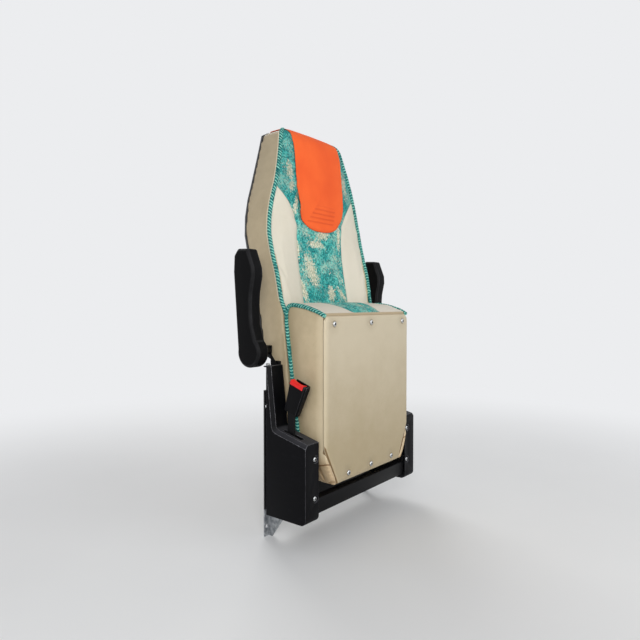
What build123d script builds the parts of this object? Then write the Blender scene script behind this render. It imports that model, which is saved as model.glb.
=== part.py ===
"""Tip-up crew seat of a coach, for the step beside its entrance.

Millimetres. X runs across the seat, with +X on the sitter's left. +Y runs
back into the wall, whose face is the plane Y = 0. +Z is up. The origin is the
centre of the four wall bolts. The cushion and both armrests are folded up.
"""
from build123d import *
from math import asin, cos, degrees, radians, sin, sqrt
import os

# Cushion, measured with its board upright: board, wedge of foam and nose
SEAT_W = 380.0
BOARD_LEN = 402.0
BOARD_T = 10.0
BOARD_CORNER_R = 6.0
CORNER_CUT_X = 47.5
CORNER_CUT_Z = 92.0
CUSHION_REAR_T = 72.0
CUSHION_FRONT_T = 126.0
NOSE_LEN = 33.0
NOSE_DROP = 24.0
NOSE_SLOPE = 5.0
NOSE_FLAT = 63.0
FOAM_ROUND = 9.0
FOAM_INSET = 1.5
FOAM_CUT_X = 32.0
FOAM_CUT_Z = 64.0
SCREW_R = 6.0
SCREW_PROUD = 2.5
SCREW_IN = 17.0
SCREW_SIDE_IN = 32.0
SCREW_LOW_IN = 90.0

# Hinge of the cushion: its line, the arms, the pins and their spring drums
HINGE_Y = -123.0
HINGE_Z = 18.0
HINGE_IN = 48.0
HINGE_UP = 47.5
HINGE_PIN_R = 6.0
HINGE_EYE_R = 14.0
HINGE_ARM_T = 5.0
HINGE_ARM_IN = 38.0
HINGE_FOOT_W = 45.0
HINGE_FOOT_LOW = 34.0
HINGE_FOOT_HIGH = 120.0
HEEL_R = 7.0
HEEL_REACH = 24.0
HEEL_ANGLE = -65.0
STOP_PIN_R = 5.0
TIP_ANGLE = 90.0
DRUM_R = 11.0
DRUM_LEN = 20.0

# Clearances: at pins, where one piece seats on another, and round moving pieces
RUN_CLEAR = 0.08
SEAT_CLEAR = 0.3
MOVE_CLEAR = 5.0

# Side frames of steel plate
SIDE_GAP = 10.5
PLATE_T = 4.0
FRAME_BACK_Y = -6.0
FRAME_NECK_Y = -26.0
FRAME_NECK_Z = 276.0
WALL_TOP_Z = 266.0
TAB_W = 24.0
TAB_H = 32.0

# Wall brackets, with a flange that turns outwards
FLANGE_W = 18.4
BRACKET_TOP = 190.0
BRACKET_LOW = -175.0
GUSSET_DEPTH = 64.0
GUSSET_TIP = 14.0
GUSSET_TOP = 60.0
BOLT_SPACING_Z = 300.0
BOLT_HOLE_R = 4.5

# Moulded side covers
COVER_W = 49.0
COVER_WALL = 3.0
COVER_FRONT_Y = -157.0
COVER_BACK_Y = -34.0
COVER_LOW_Z = -105.0
COVER_FRONT_Z = 81.0
COVER_REAR_Z = 105.0
COVER_ARM_Y = -60.0
COVER_ARM_TOP_Z = 254.5
COVER_ARM_TOP_Y = -43.0
COVER_BEVEL = 8.0
COVER_INNER_R = 12.0
COVER_FOOT_R = 14.0
COVER_BOLT_Z = (42.0, -50.0)
COVER_BOLT_IN = 12.0
COVER_BOLT_R = 6.0
COVER_SINK_R = 9.0
COVER_SINK = 3.0
COVER_BOSS_W = 23.0
COVER_BOSS_T = 5.0

# Cross members: square tube in front, pressed panel behind
BEAM_H = 36.0
BEAM_D = 24.0
BEAM_WALL = 2.0
BEAM_TOP_Z = -55.0
BEAM_FRONT_Y = -150.0
PANEL_Y = -40.0
PANEL_T = 3.0
PANEL_LOW = -125.0
PANEL_TOP = 58.0
PANEL_LIP = 20.0

# Backrest
BACK_LOW_Z = 60.0
LEG_FRONT_Y = -32.0
LEG_BACK_Y = -8.0
LEG_LOW_Z = 90.0
LEG_TOP_Z = 262.0
SHELL_T = 4.0

# Head cover: its lower edge is one curve, and its top follows the domed pad
HEAD_COVER_W = 200.0
HEAD_COVER_LOW = 600.0
HEAD_COVER_RISE = 90.0
HEM_POWER = 2.6
HEM_STEPS = 12
SHOULDER_Z = 868.7
CROWN_W = 172.0
HEAD_COVER_T = 2.5
HEAD_COVER_LIFT = 0.8

# Armrests, each on a shaft over a hollow post
ARM_GAP = 5.0
ARM_W = 36.0
ARM_PIVOT_Y = 4.0
ARM_PIVOT_Z = 288.0
ARM_BOSS_Y = -14.0
ARM_BOSS_R = 36.0
ARM_TIP_Z = 536.0
ARM_EDGE = 4.0
SHAFT_R = 9.0
SHAFT_COLLAR_R = 12.0
POST_W = 25.0
POST_CAP_W = 36.0
POST_CAP_T = 3.0
POST_FRONT_Y = -31.0
POST_BACK_Y = -17.0
POST_LOW_Z = 130.0
POST_TOP_Z = 253.0
POST_WALL = 2.5
POST_BOLT_R = 5.0
POST_BOLT_T = 6.0
POST_BOLT_IN = 8.0

# Belt buckle
BUCKLE_IN = 23.5
BUCKLE_W = 52.0
BUCKLE_FOOT_W = 42.0
BUCKLE_T = 22.0
BUCKLE_LEN = 71.0
BUCKLE_LEAN = 20.0
BUCKLE_Y = -95.0
BUCKLE_Z = 146.0
BUCKLE_EDGE = 4.0
BUTTON_W = 44.0
BUTTON_T = 12.0
BUTTON_IN = 1.5
BUTTON_DEEP = 12.0
BUTTON_PROUD = 7.0
TONGUE_SLOT_T = 3.5
STALK_T = 5.0
STALK_W = 20.0
STALK_LOW = 40.0
SLOT_W = 12.0
SLOT_FRONT_Y = -130.0
SLOT_BACK_Y = -73.0

# Worked out from the above
HALF_W = SEAT_W / 2
BOARD_Y = HINGE_Y - HINGE_IN
BOARD_LOW = HINGE_Z - HINGE_UP
BOARD_TOP = BOARD_LOW + BOARD_LEN
HINGE_ARM_X = HALF_W - HINGE_ARM_IN
FRAME_X = HALF_W + SIDE_GAP
BRACKET_X = FRAME_X + PLATE_T + SEAT_CLEAR
BOLT_X = BRACKET_X + (PLATE_T + FLANGE_W) / 2
COVER_X = FRAME_X
COVER_OUT_X = COVER_X + COVER_W
COVER_BOLT_X = COVER_X + COVER_BOLT_IN
ARM_X = COVER_OUT_X + ARM_GAP
BUCKLE_X = COVER_X + BUCKLE_IN

parts = {}


def side_plate(points, x_low, x_high):
    """A plate across X whose outline is given as (y, z) points."""
    face = make_face(Polyline(*points, close=True))
    return extrude(Plane.YZ.offset(x_low) * face, x_high - x_low)


def rod_x(y, z, radius, x_low, x_high):
    """A round bar along X."""
    return extrude(Plane.YZ.offset(x_low) * Pos(y, z) * Circle(radius), x_high - x_low)


def rod_y(x, z, radius, y_low, y_high):
    """A round bar along Y."""
    return Pos(x, y_high, z) * Rot(90, 0, 0) * extrude(Circle(radius), y_high - y_low)


def block(x_low, x_high, y_low, y_high, z_low, z_high):
    """A box from its lowest and highest corner."""
    size = (x_high - x_low, y_high - y_low, z_high - z_low)
    centre = ((x_low + x_high) / 2, (y_low + y_high) / 2, (z_low + z_high) / 2)
    return Pos(*centre) * Box(*size)


def both_sides(name, solid):
    """The same piece on the sitter's left and, mirrored, on the right."""
    parts[name + "_left"] = solid
    parts[name + "_right"] = mirror(solid, Plane.YZ)


# Cushion board, with its two rear corners cut off
board_outline = Polyline(
    (-HALF_W, BOARD_TOP),
    (HALF_W, BOARD_TOP),
    (HALF_W, BOARD_LOW + CORNER_CUT_Z),
    (HALF_W - CORNER_CUT_X, BOARD_LOW),
    (-HALF_W + CORNER_CUT_X, BOARD_LOW),
    (-HALF_W, BOARD_LOW + CORNER_CUT_Z),
    close=True,
)
front_plane = Plane(origin=(0, BOARD_Y, 0), x_dir=(1, 0, 0), z_dir=(0, -1, 0))
board_face = fillet(make_face(board_outline).vertices(), BOARD_CORNER_R)
parts["seat_board"] = extrude(front_plane * board_face, -BOARD_T)

# Six dome screws that hold the cover to the board
screw_rows = (
    # height, distance of the outer screws from the middle
    (BOARD_TOP - SCREW_IN, HALF_W - SCREW_SIDE_IN),
    (BOARD_LOW + SCREW_IN, HALF_W - SCREW_LOW_IN),
)
screws = []
for height, reach in screw_rows:
    for place in (-reach, 0, reach):
        screws.append(rod_y(place, height, SCREW_R, BOARD_Y - SCREW_PROUD, BOARD_Y))
parts["board_screws"] = Compound(children=screws)

# One stop pin in each side frame ends both travels: the heel of the hinge arm
# meets it with the seat down, the back of the arm meets it with the seat up
stop_turn = 2 * degrees(asin((HEEL_R + STOP_PIN_R + SEAT_CLEAR) / (2 * HEEL_REACH)))
stop_angle = radians(HEEL_ANGLE + TIP_ANGLE + stop_turn)
stop_y = HINGE_Y + HEEL_REACH * cos(stop_angle)
stop_z = HINGE_Z + HEEL_REACH * sin(stop_angle)
heel_y = HINGE_Y + HEEL_REACH * cos(radians(HEEL_ANGLE))
heel_z = HINGE_Z + HEEL_REACH * sin(radians(HEEL_ANGLE))

# Hinge arms: a foot on the board, a cheek with the eye for the pin, and a heel
foot_y = BOARD_Y + BOARD_T
foot_low = BOARD_LOW + HINGE_FOOT_LOW
foot_high = BOARD_LOW + HINGE_FOOT_HIGH
cheek_x = HINGE_ARM_X + HINGE_ARM_T
cheek = side_plate(
    [
        (foot_y, foot_high),
        (foot_y, foot_low),
        (HINGE_Y, HINGE_Z - HINGE_EYE_R),
        (HINGE_Y + HINGE_EYE_R, HINGE_Z),
        (foot_y + HINGE_EYE_R, foot_high),
    ],
    HINGE_ARM_X,
    cheek_x,
)
cheek += rod_x(HINGE_Y, HINGE_Z, HINGE_EYE_R, HINGE_ARM_X, cheek_x)
cheek += rod_x(heel_y, heel_z, HEEL_R, HINGE_ARM_X, cheek_x)
heel_neck = Pos(HINGE_Y, HINGE_Z) * Rot(0, 0, HEEL_ANGLE) * Pos(HEEL_REACH / 2, 0)
heel_neck *= Rectangle(HEEL_REACH, 2 * STOP_PIN_R)
cheek += extrude(Plane.YZ.offset(HINGE_ARM_X) * heel_neck, HINGE_ARM_T)
cheek -= rod_x(stop_y, stop_z, STOP_PIN_R + SEAT_CLEAR, HINGE_ARM_X - 1, cheek_x + 1)
foot = block(
    HINGE_ARM_X - HINGE_FOOT_W,
    HINGE_ARM_X,
    foot_y,
    foot_y + HINGE_ARM_T,
    foot_low,
    foot_high,
)
eye = rod_x(HINGE_Y, HINGE_Z, HINGE_PIN_R + RUN_CLEAR, HINGE_ARM_X - 1, cheek_x + 1)
both_sides("hinge_arm", cheek + foot - eye)

# Hinge pins, each with the drum of its return spring, and stop pins. They are
# fixed in the side frames
pin_x = HINGE_ARM_X - SEAT_CLEAR
hinge_pin = rod_x(HINGE_Y, HINGE_Z, HINGE_PIN_R, pin_x, FRAME_X)
hinge_pin += rod_x(HINGE_Y, HINGE_Z, DRUM_R, FRAME_X - DRUM_LEN, FRAME_X)
both_sides("hinge_pin", hinge_pin)
both_sides("stop_pin", rod_x(stop_y, stop_z, STOP_PIN_R, pin_x, FRAME_X))

# Foam wedge on the board, behind it when folded up
foam_y = foot_y + SEAT_CLEAR
seat_low_y = BOARD_Y + CUSHION_REAR_T
seat_high_y = BOARD_Y + CUSHION_FRONT_T
foam_profile = make_face(
    Polyline(
        (foam_y, BOARD_LOW + FOAM_INSET),
        (seat_low_y, BOARD_LOW + FOAM_INSET),
        (seat_high_y, BOARD_TOP - 8),
        (seat_high_y - 7, BOARD_TOP + NOSE_LEN),
        (seat_high_y - NOSE_FLAT, BOARD_TOP + NOSE_LEN - NOSE_SLOPE),
        (foam_y, BOARD_TOP + NOSE_LEN - NOSE_DROP),
        close=True,
    )
)
rounded = foam_profile.vertices().sort_by(Axis.X)[2:]
foam_profile = fillet(rounded, FOAM_ROUND)
foam_half = HALF_W - FOAM_INSET
foam = extrude(Plane.YZ.offset(-foam_half) * foam_profile, 2 * foam_half)
corner_cut = Polyline(
    (foam_half, BOARD_LOW + FOAM_CUT_Z),
    (foam_half + 5, BOARD_LOW + FOAM_CUT_Z),
    (foam_half + 5, BOARD_LOW - 5),
    (foam_half - FOAM_CUT_X, BOARD_LOW - 5),
    (foam_half - FOAM_CUT_X, BOARD_LOW),
    close=True,
)
corner_wedge = extrude(Plane.XZ * make_face(corner_cut), SEAT_W, both=True)

# Pockets in the foam: for the arm's foot, for its cheek, for the hinge pin with
# its drum, and for the fixed stop pin, which sweeps through the rear half of a
# circle round the hinge
pocket_x = HINGE_ARM_X - MOVE_CLEAR
sweep_r = HEEL_REACH + STOP_PIN_R + MOVE_CLEAR
arm_pocket = block(
    HINGE_ARM_X - HINGE_FOOT_W - SEAT_CLEAR,
    HINGE_ARM_X,
    foam_y - 1,
    foot_y + HINGE_ARM_T + SEAT_CLEAR,
    foot_low - SEAT_CLEAR,
    foot_high + SEAT_CLEAR,
)
arm_pocket += block(
    HINGE_ARM_X - SEAT_CLEAR,
    cheek_x + SEAT_CLEAR,
    foam_y - 1,
    HINGE_Y + HINGE_EYE_R + SEAT_CLEAR,
    HINGE_Z - HINGE_EYE_R - SEAT_CLEAR,
    foot_high + SEAT_CLEAR,
)
stop_pocket = rod_x(HINGE_Y, HINGE_Z, sweep_r, pocket_x, HALF_W)
stop_pocket -= block(
    pocket_x - 1,
    HALF_W + 1,
    HINGE_Y - sweep_r - 1,
    HINGE_Y,
    HINGE_Z - sweep_r - 1,
    HINGE_Z + sweep_r + 1,
)
pin_pocket = rod_x(HINGE_Y, HINGE_Z, DRUM_R + 1, pocket_x, HALF_W)
for cut in (corner_wedge, arm_pocket, stop_pocket, pin_pocket):
    foam -= cut
    foam -= mirror(cut, Plane.YZ)
parts["cushion_pad"] = foam

# Side frames, each a plate with two tabs behind the front of its cover. Above
# the wall its neck leans back to the armrest's shaft
tab_y = COVER_FRONT_Y + COVER_SINK + COVER_BOSS_T + SEAT_CLEAR
web_low_z = COVER_LOW_Z + COVER_WALL + 1
eye_front = ARM_PIVOT_Y - SHAFT_COLLAR_R
eye_back = ARM_PIVOT_Y + SHAFT_COLLAR_R
eye_top = ARM_PIVOT_Z + SHAFT_COLLAR_R
frame = side_plate(
    [
        (tab_y, web_low_z + COVER_FOOT_R),
        (tab_y + COVER_FOOT_R, web_low_z),
        (FRAME_BACK_Y, web_low_z),
        (FRAME_BACK_Y, WALL_TOP_Z),
        (eye_back, FRAME_NECK_Z),
        (eye_back, eye_top),
        (eye_front, eye_top),
        (eye_front, FRAME_NECK_Z),
        (FRAME_NECK_Y, COVER_ARM_TOP_Z),
        (COVER_ARM_Y + 8, COVER_REAR_Z),
        (COVER_ARM_Y, COVER_REAR_Z - 7),
        (tab_y, COVER_FRONT_Z - 7),
    ],
    FRAME_X,
    FRAME_X + PLATE_T,
)
for height in COVER_BOLT_Z:
    low = height - TAB_H / 2
    frame += block(FRAME_X, FRAME_X + TAB_W, tab_y, tab_y + PLATE_T, low, low + TAB_H)
both_sides("side_frame", frame)

# Wall brackets on the outside of the side frames
bracket = side_plate(
    [
        (0, BRACKET_LOW),
        (-GUSSET_TIP, BRACKET_LOW),
        (-GUSSET_DEPTH, COVER_LOW_Z),
        (-GUSSET_DEPTH, GUSSET_TOP),
        (-2 * PLATE_T, GUSSET_TOP + GUSSET_DEPTH),
        (-2 * PLATE_T, BRACKET_TOP),
        (0, BRACKET_TOP),
    ],
    BRACKET_X,
    BRACKET_X + PLATE_T,
)
bracket += block(BRACKET_X, BRACKET_X + FLANGE_W, -PLATE_T, 0, BRACKET_LOW, BRACKET_TOP)
for sign in (1, -1):
    bracket -= rod_y(BOLT_X, sign * BOLT_SPACING_Z / 2, BOLT_HOLE_R, -2 * PLATE_T, PLATE_T)
both_sides("wall_bracket", bracket)

# Square tube between the side frames, below the cushion's hinge
beam_low = BEAM_TOP_Z - BEAM_H
beam_back = BEAM_FRONT_Y + BEAM_D
beam = block(-FRAME_X, FRAME_X, BEAM_FRONT_Y, beam_back, beam_low, BEAM_TOP_Z)
beam -= block(
    -FRAME_X,
    FRAME_X,
    BEAM_FRONT_Y + BEAM_WALL,
    beam_back - BEAM_WALL,
    beam_low + BEAM_WALL,
    BEAM_TOP_Z - BEAM_WALL,
)
parts["front_beam"] = beam

# Pressed panel that closes the base behind the cushion
panel_back = PANEL_Y + PANEL_T
panel = block(-FRAME_X, FRAME_X, PANEL_Y, panel_back, PANEL_LOW, PANEL_TOP)
panel += block(
    -FRAME_X, FRAME_X, PANEL_Y, PANEL_Y + PANEL_LIP, PANEL_LOW, PANEL_LOW + PANEL_T
)
parts["cross_panel"] = panel

# Moulded side covers: hollow, open towards the frame and the wall
cover_face = make_face(
    Polyline(
        (COVER_FRONT_Y, COVER_LOW_Z),
        (COVER_BACK_Y, COVER_LOW_Z),
        (COVER_BACK_Y, COVER_ARM_TOP_Z),
        (COVER_ARM_TOP_Y, COVER_ARM_TOP_Z),
        (COVER_ARM_Y, COVER_REAR_Z),
        (COVER_FRONT_Y, COVER_FRONT_Z),
        close=True,
    )
)
for y, z, radius in (
    # corner of the cover's side view, and its radius
    (COVER_FRONT_Y, COVER_LOW_Z, COVER_FOOT_R),
    (COVER_ARM_Y, COVER_REAR_Z, COVER_INNER_R),
):
    corner = cover_face.vertices().sort_by_distance((y, z, 0))[0]
    cover_face = fillet(corner, radius)
inner_face = offset(cover_face, -COVER_WALL, kind=Kind.INTERSECTION)


def bevelled(face, depth, bevel):
    """The side view made solid, with a bevel along its outer top edge."""
    solid = extrude(Plane.YZ.offset(COVER_X) * face, depth)
    rim = solid.faces().sort_by(Axis.X)[-1].edges()
    top_rim = [
        edge
        for edge in rim
        if edge.center().Z > COVER_FRONT_Z and edge.center().Y < COVER_ARM_TOP_Y
    ]
    return chamfer(top_rim, bevel)


inner_bevel = COVER_BEVEL - COVER_WALL * (2 - sqrt(2))
cover_out = bevelled(cover_face, COVER_W, COVER_BEVEL)
cover_in = bevelled(inner_face, COVER_W - COVER_WALL, inner_bevel)
cover = cover_out - cover_in
cover -= block(
    COVER_X - 1,
    COVER_OUT_X - COVER_WALL,
    COVER_BACK_Y - COVER_WALL - 1,
    COVER_BACK_Y + 1,
    COVER_LOW_Z + COVER_WALL,
    COVER_ARM_TOP_Z - COVER_WALL,
)
cover -= block(
    COVER_X - 1,
    BRACKET_X + PLATE_T + SEAT_CLEAR,
    -GUSSET_DEPTH - 2,
    COVER_BACK_Y + 1,
    COVER_LOW_Z - 1,
    COVER_LOW_Z + COVER_WALL + 2,
)

# Bosses and sunk seats for the bolts that hold the covers
bolts = []
sink_y = COVER_FRONT_Y + COVER_SINK
boss_low_x = COVER_BOLT_X - COVER_BOSS_W / 2
for height in COVER_BOLT_Z:
    cover += block(
        boss_low_x,
        boss_low_x + COVER_BOSS_W,
        COVER_FRONT_Y + 1,
        sink_y + COVER_BOSS_T,
        height - COVER_BOSS_W / 2,
        height + COVER_BOSS_W / 2,
    )
    cover -= rod_y(COVER_BOLT_X, height, COVER_SINK_R, COVER_FRONT_Y - 1, sink_y)
    cover -= rod_y(COVER_BOLT_X, height, COVER_BOLT_R / 2, sink_y - 1, tab_y)
    for side in (-1, 1):
        bolts.append(rod_y(side * COVER_BOLT_X, height, COVER_BOLT_R, COVER_FRONT_Y, sink_y))
parts["cover_bolts"] = Compound(children=bolts)

# Only the right cover has the slot for the buckle's stalk
slot_x = BUCKLE_X + STALK_T / 2
slot = block(
    slot_x - SLOT_W / 2,
    slot_x + SLOT_W / 2,
    SLOT_FRONT_Y,
    SLOT_BACK_Y,
    COVER_FRONT_Z - COVER_WALL,
    COVER_REAR_Z + COVER_WALL,
)
parts["side_cover_left"] = cover
parts["side_cover_right"] = mirror(cover - slot, Plane.YZ)

# Backrest pad: level sections from its foot to its head. Widths are shares of
# half the seat's width
back_sections = (
    # height, half width, edge y, seam, seam y, centre y, rear y, rear half width
    (BACK_LOW_Z, 1.016, -66, 0.500, -58, -56, -3, 1.016),
    (WALL_TOP_Z, 1.016, -50, 0.511, -36, -33, -3, 1.016),
    (288, 1.018, -48, 0.512, -34, -31, 27, 1.016),
    (364, 1.026, -39, 0.516, -27, -25, 40, 1.016),
    (410, 1.037, -37, 0.521, -20, -18, 48, 1.021),
    (486, 1.053, -23, 0.516, -6, -3, 66, 1.032),
    (534, 1.058, -9, 0.511, 1, 3, 79, 1.037),
    (581, 1.053, 2, 0.516, 4, 4, 90, 1.032),
    (629, 1.016, 7, 0.547, 1, -2, 95, 1.000),
    (676, 0.947, 9, 0.558, -3, -6, 98, 0.937),
    (724, 0.858, 10, 0.558, -1, -5, 99, 0.853),
    (771, 0.784, 15, 0.558, 3, 0, 98, 0.784),
    (819, 0.705, 23, 0.553, 8, 4, 97, 0.716),
    (855, 0.653, 30, 0.547, 19, 15, 95, 0.674),
    (865, 0.580, 40, 0.500, 30, 26, 92, 0.580),
    (873, 0.453, 54, 0.400, 48, 44, 84, 0.453),
)


def level_face(points, height):
    """A level section from (x, y) points."""
    return Pos(0, 0, height) * make_face(Polyline(*points, close=True))


pad_faces = []
for z, wide, edge_y, seam, seam_y, centre_y, rear_y, rear_wide in back_sections:
    half = wide * HALF_W
    seam_x = seam * HALF_W
    rear_x = rear_wide * HALF_W
    points = [(-half, edge_y), (-seam_x, seam_y), (0, centre_y), (seam_x, seam_y)]
    points += [(half, edge_y), (rear_x, rear_y), (-rear_x, rear_y)]
    pad_faces.append(level_face(points, z))
parts["backrest_pad"] = loft(pad_faces, ruled=True)

# Legs of the backrest, between its foot and the side frames
leg_x = back_sections[0][1] * HALF_W + SEAT_CLEAR
leg = block(leg_x, FRAME_X, LEG_FRONT_Y, LEG_BACK_Y, LEG_LOW_Z, LEG_TOP_Z)
both_sides("backrest_leg", leg)

# Back shell behind the pad
shell_faces = []
for z, _, _, _, _, _, rear_y, rear_wide in back_sections[2:]:
    x = rear_wide * HALF_W
    low_y = rear_y + SEAT_CLEAR
    high_y = low_y + SHELL_T
    shell_faces.append(level_face([(-x, low_y), (x, low_y), (x, high_y), (-x, high_y)], z))
parts["back_shell"] = loft(shell_faces, ruled=True)

# Head cover: a front flap and a rear flap that end in the same curve, and a top
below = [row for row in back_sections if row[0] < HEAD_COVER_LOW][-1]
above = [row for row in back_sections if row[0] > HEAD_COVER_LOW]
share = (HEAD_COVER_LOW - below[0]) / (above[0][0] - below[0])
low_row = tuple(a + share * (b - a) for a, b in zip(below, above[0]))
half = HEAD_COVER_W / 2
front_faces = []
rear_faces = []
for z, _, _, _, seam_y, centre_y, rear_y, rear_wide in (low_row, *above):
    side_y = seam_y - HEAD_COVER_LIFT
    mid_y = centre_y - HEAD_COVER_LIFT
    points = [(-half, side_y), (0, mid_y), (half, side_y)]
    points += [(x, y - HEAD_COVER_T) for x, y in reversed(points)]
    front_faces.append(level_face(points, z))
    low_y = rear_y + SHELL_T + 2 * SEAT_CLEAR
    high_y = low_y + HEAD_COVER_T
    points = [(-half, low_y), (half, low_y), (half, high_y), (-half, high_y)]
    rear_faces.append(level_face(points, z))
hem = []
for step in range(HEM_STEPS + 1):
    share = sin(radians(90 * (2 * step / HEM_STEPS - 1)))
    drop = (1 - abs(share) ** HEM_POWER) ** (1 / HEM_POWER)
    hem.append((half * share, HEAD_COVER_LOW + HEAD_COVER_RISE * (1 - drop)))
crown = CROWN_W / 2
top_z = above[-1][0] + SEAT_CLEAR
roof_line = [(half, SHOULDER_Z), (crown, top_z), (-crown, top_z), (-half, SHOULDER_Z)]
flap_face = make_face(Polyline(*hem, *roof_line, close=True))
flap_outline = extrude(Plane.XZ * flap_face, SEAT_W, both=True)
head_cover = loft(front_faces, ruled=True) & flap_outline
head_cover += loft(rear_faces, ruled=True) & flap_outline
front_y = above[-1][5] - HEAD_COVER_LIFT - 2 * HEAD_COVER_T
rear_y = above[-1][6] + SHELL_T + 2 * SEAT_CLEAR + 2 * HEAD_COVER_T
roof_top = [(x, z + HEAD_COVER_T) for x, z in reversed(roof_line)]
roof_face = make_face(Polyline(*roof_line, *roof_top, close=True))
roof = extrude(Plane.XZ * roof_face, SEAT_W, both=True)
head_cover += roof & block(-half, half, front_y, rear_y, SHOULDER_Z, top_z + HEAD_COVER_T)
parts["head_cover"] = head_cover

# Armrest shafts with their collars, on the side frames
shaft_x = FRAME_X + PLATE_T
shaft_end = ARM_X + ARM_W - 6
shaft = rod_x(ARM_PIVOT_Y, ARM_PIVOT_Z, SHAFT_R, shaft_x, shaft_end)
shaft += rod_x(ARM_PIVOT_Y, ARM_PIVOT_Z, SHAFT_COLLAR_R, shaft_x, ARM_X - 0.5)
both_sides("armrest_shaft", shaft)

# Hollow posts beside the wall brackets, each with a cap and a bolt in the cap
post_out = BRACKET_X + POST_W
post = block(BRACKET_X, post_out, POST_FRONT_Y, POST_BACK_Y, POST_LOW_Z, POST_TOP_Z)
post -= block(
    BRACKET_X + POST_WALL,
    post_out - POST_WALL,
    POST_FRONT_Y + POST_WALL,
    POST_BACK_Y - POST_WALL,
    POST_LOW_Z - 1,
    POST_TOP_Z - POST_CAP_T,
)
cap_out = BRACKET_X + POST_CAP_W
cap_low = POST_TOP_Z - POST_CAP_T
post += block(post_out, cap_out, POST_FRONT_Y, POST_BACK_Y, cap_low, POST_TOP_Z)
both_sides("arm_post", post)
bolt_x = cap_out - POST_BOLT_IN
bolt_y = (POST_FRONT_Y + POST_BACK_Y) / 2
post_bolts = []
for side in (-1, 1):
    bolt = Pos(side * bolt_x, bolt_y, POST_TOP_Z)
    post_bolts.append(bolt * extrude(RegularPolygon(POST_BOLT_R, 6), POST_BOLT_T))
parts["post_bolts"] = Compound(children=post_bolts)

# Armrests, folded up: foam on a core, with a blind bore for the shaft
arm_len = ARM_TIP_Z - ARM_PIVOT_Z
arm_outline = [(ARM_BOSS_Y, ARM_PIVOT_Z)]
for reach, share in (
    # depth as a share of the width, height as a share of the length
    (-1.05, 0.105),
    (-0.67, 0.270),
    (-0.61, 0.460),
    (-0.67, 0.580),
    (-0.89, 0.726),
    (-0.86, 0.810),
    (-0.36, 0.992),
    (0.56, 1.000),
    (0.94, 0.935),
    (1.00, 0.774),
    (0.58, 0.000),
):
    arm_outline.append((reach * ARM_W, ARM_PIVOT_Z + share * arm_len))
arm_face = make_face(Polyline(*arm_outline, close=True))
arm_face += Pos(ARM_BOSS_Y, ARM_PIVOT_Z) * Circle(ARM_BOSS_R)
arm = extrude(Plane.YZ.offset(ARM_X) * arm_face, ARM_W)
rims = arm.faces().sort_by(Axis.X)[0].edges() + arm.faces().sort_by(Axis.X)[-1].edges()
arm = chamfer(rims, ARM_EDGE)
arm -= rod_x(ARM_PIVOT_Y, ARM_PIVOT_Z, SHAFT_R + RUN_CLEAR, ARM_X - 1, shaft_end + 1)
both_sides("armrest", arm)

# Belt buckle at the sitter's right: body, button and stalk
buckle_place = Pos(-BUCKLE_X, BUCKLE_Y, BUCKLE_Z) * Rot(BUCKLE_LEAN, 0, 0)
buckle_faces = []
for height, thick, wide in ((0, BUCKLE_T - 4, BUCKLE_FOOT_W), (BUCKLE_LEN, BUCKLE_T, BUCKLE_W)):
    x = thick / 2
    y = wide / 2
    corner = [(x, y - BUCKLE_EDGE), (x - BUCKLE_EDGE, y)]
    rear = corner + [(-x, y) for x, y in reversed(corner)]
    front = [(-x, -y) for x, y in rear]
    buckle_faces.append(level_face(rear + front, height))
buckle = loft(buckle_faces, ruled=True)
button_x = BUTTON_IN + (BUTTON_T - BUCKLE_T) / 2
button = Pos(button_x, 0, BUCKLE_LEN - BUTTON_DEEP / 2 + BUTTON_PROUD)
button *= Box(BUTTON_T, BUTTON_W, BUTTON_DEEP)
well_deep = BUTTON_DEEP - BUTTON_PROUD
button_well = Pos(button_x, 0, BUCKLE_LEN)
button_well *= Box(BUTTON_T + 2 * SEAT_CLEAR, BUTTON_W + 2 * SEAT_CLEAR, 2 * well_deep)
tongue_x = button_x + BUTTON_T / 2 + 1 + TONGUE_SLOT_T / 2
tongue_slot = Pos(tongue_x, 0, BUCKLE_LEN)
tongue_slot *= Box(TONGUE_SLOT_T, BUTTON_W - 6, BUCKLE_LEN / 2)
parts["buckle_body"] = buckle_place * (buckle - button_well - tongue_slot)
parts["buckle_button"] = buckle_place * button
stalk_x = -BUCKLE_X - STALK_T
stalk_y = BUCKLE_Y - STALK_W / 2
stalk_back = BUCKLE_Y + STALK_W / 2
stalk = block(stalk_x, stalk_x + STALK_T, stalk_y, stalk_back, STALK_LOW, BUCKLE_Z + 2)
stalk -= parts["buckle_body"]
foot_end = -BRACKET_X
stalk += block(stalk_x, foot_end, stalk_y, stalk_back, STALK_LOW - STALK_T, STALK_LOW)
parts["buckle_stalk"] = stalk

os.makedirs("parts", exist_ok=True)
for name, solid in parts.items():
    export_step(solid, f"parts/{name}.step")
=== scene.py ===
from math import asin, atan2, cos, pi, radians, sin, sqrt

import bmesh
import bpy
from mathutils import Matrix, Vector
from mathutils.bvhtree import BVHTree
from mathutils.kdtree import KDTree


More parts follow.
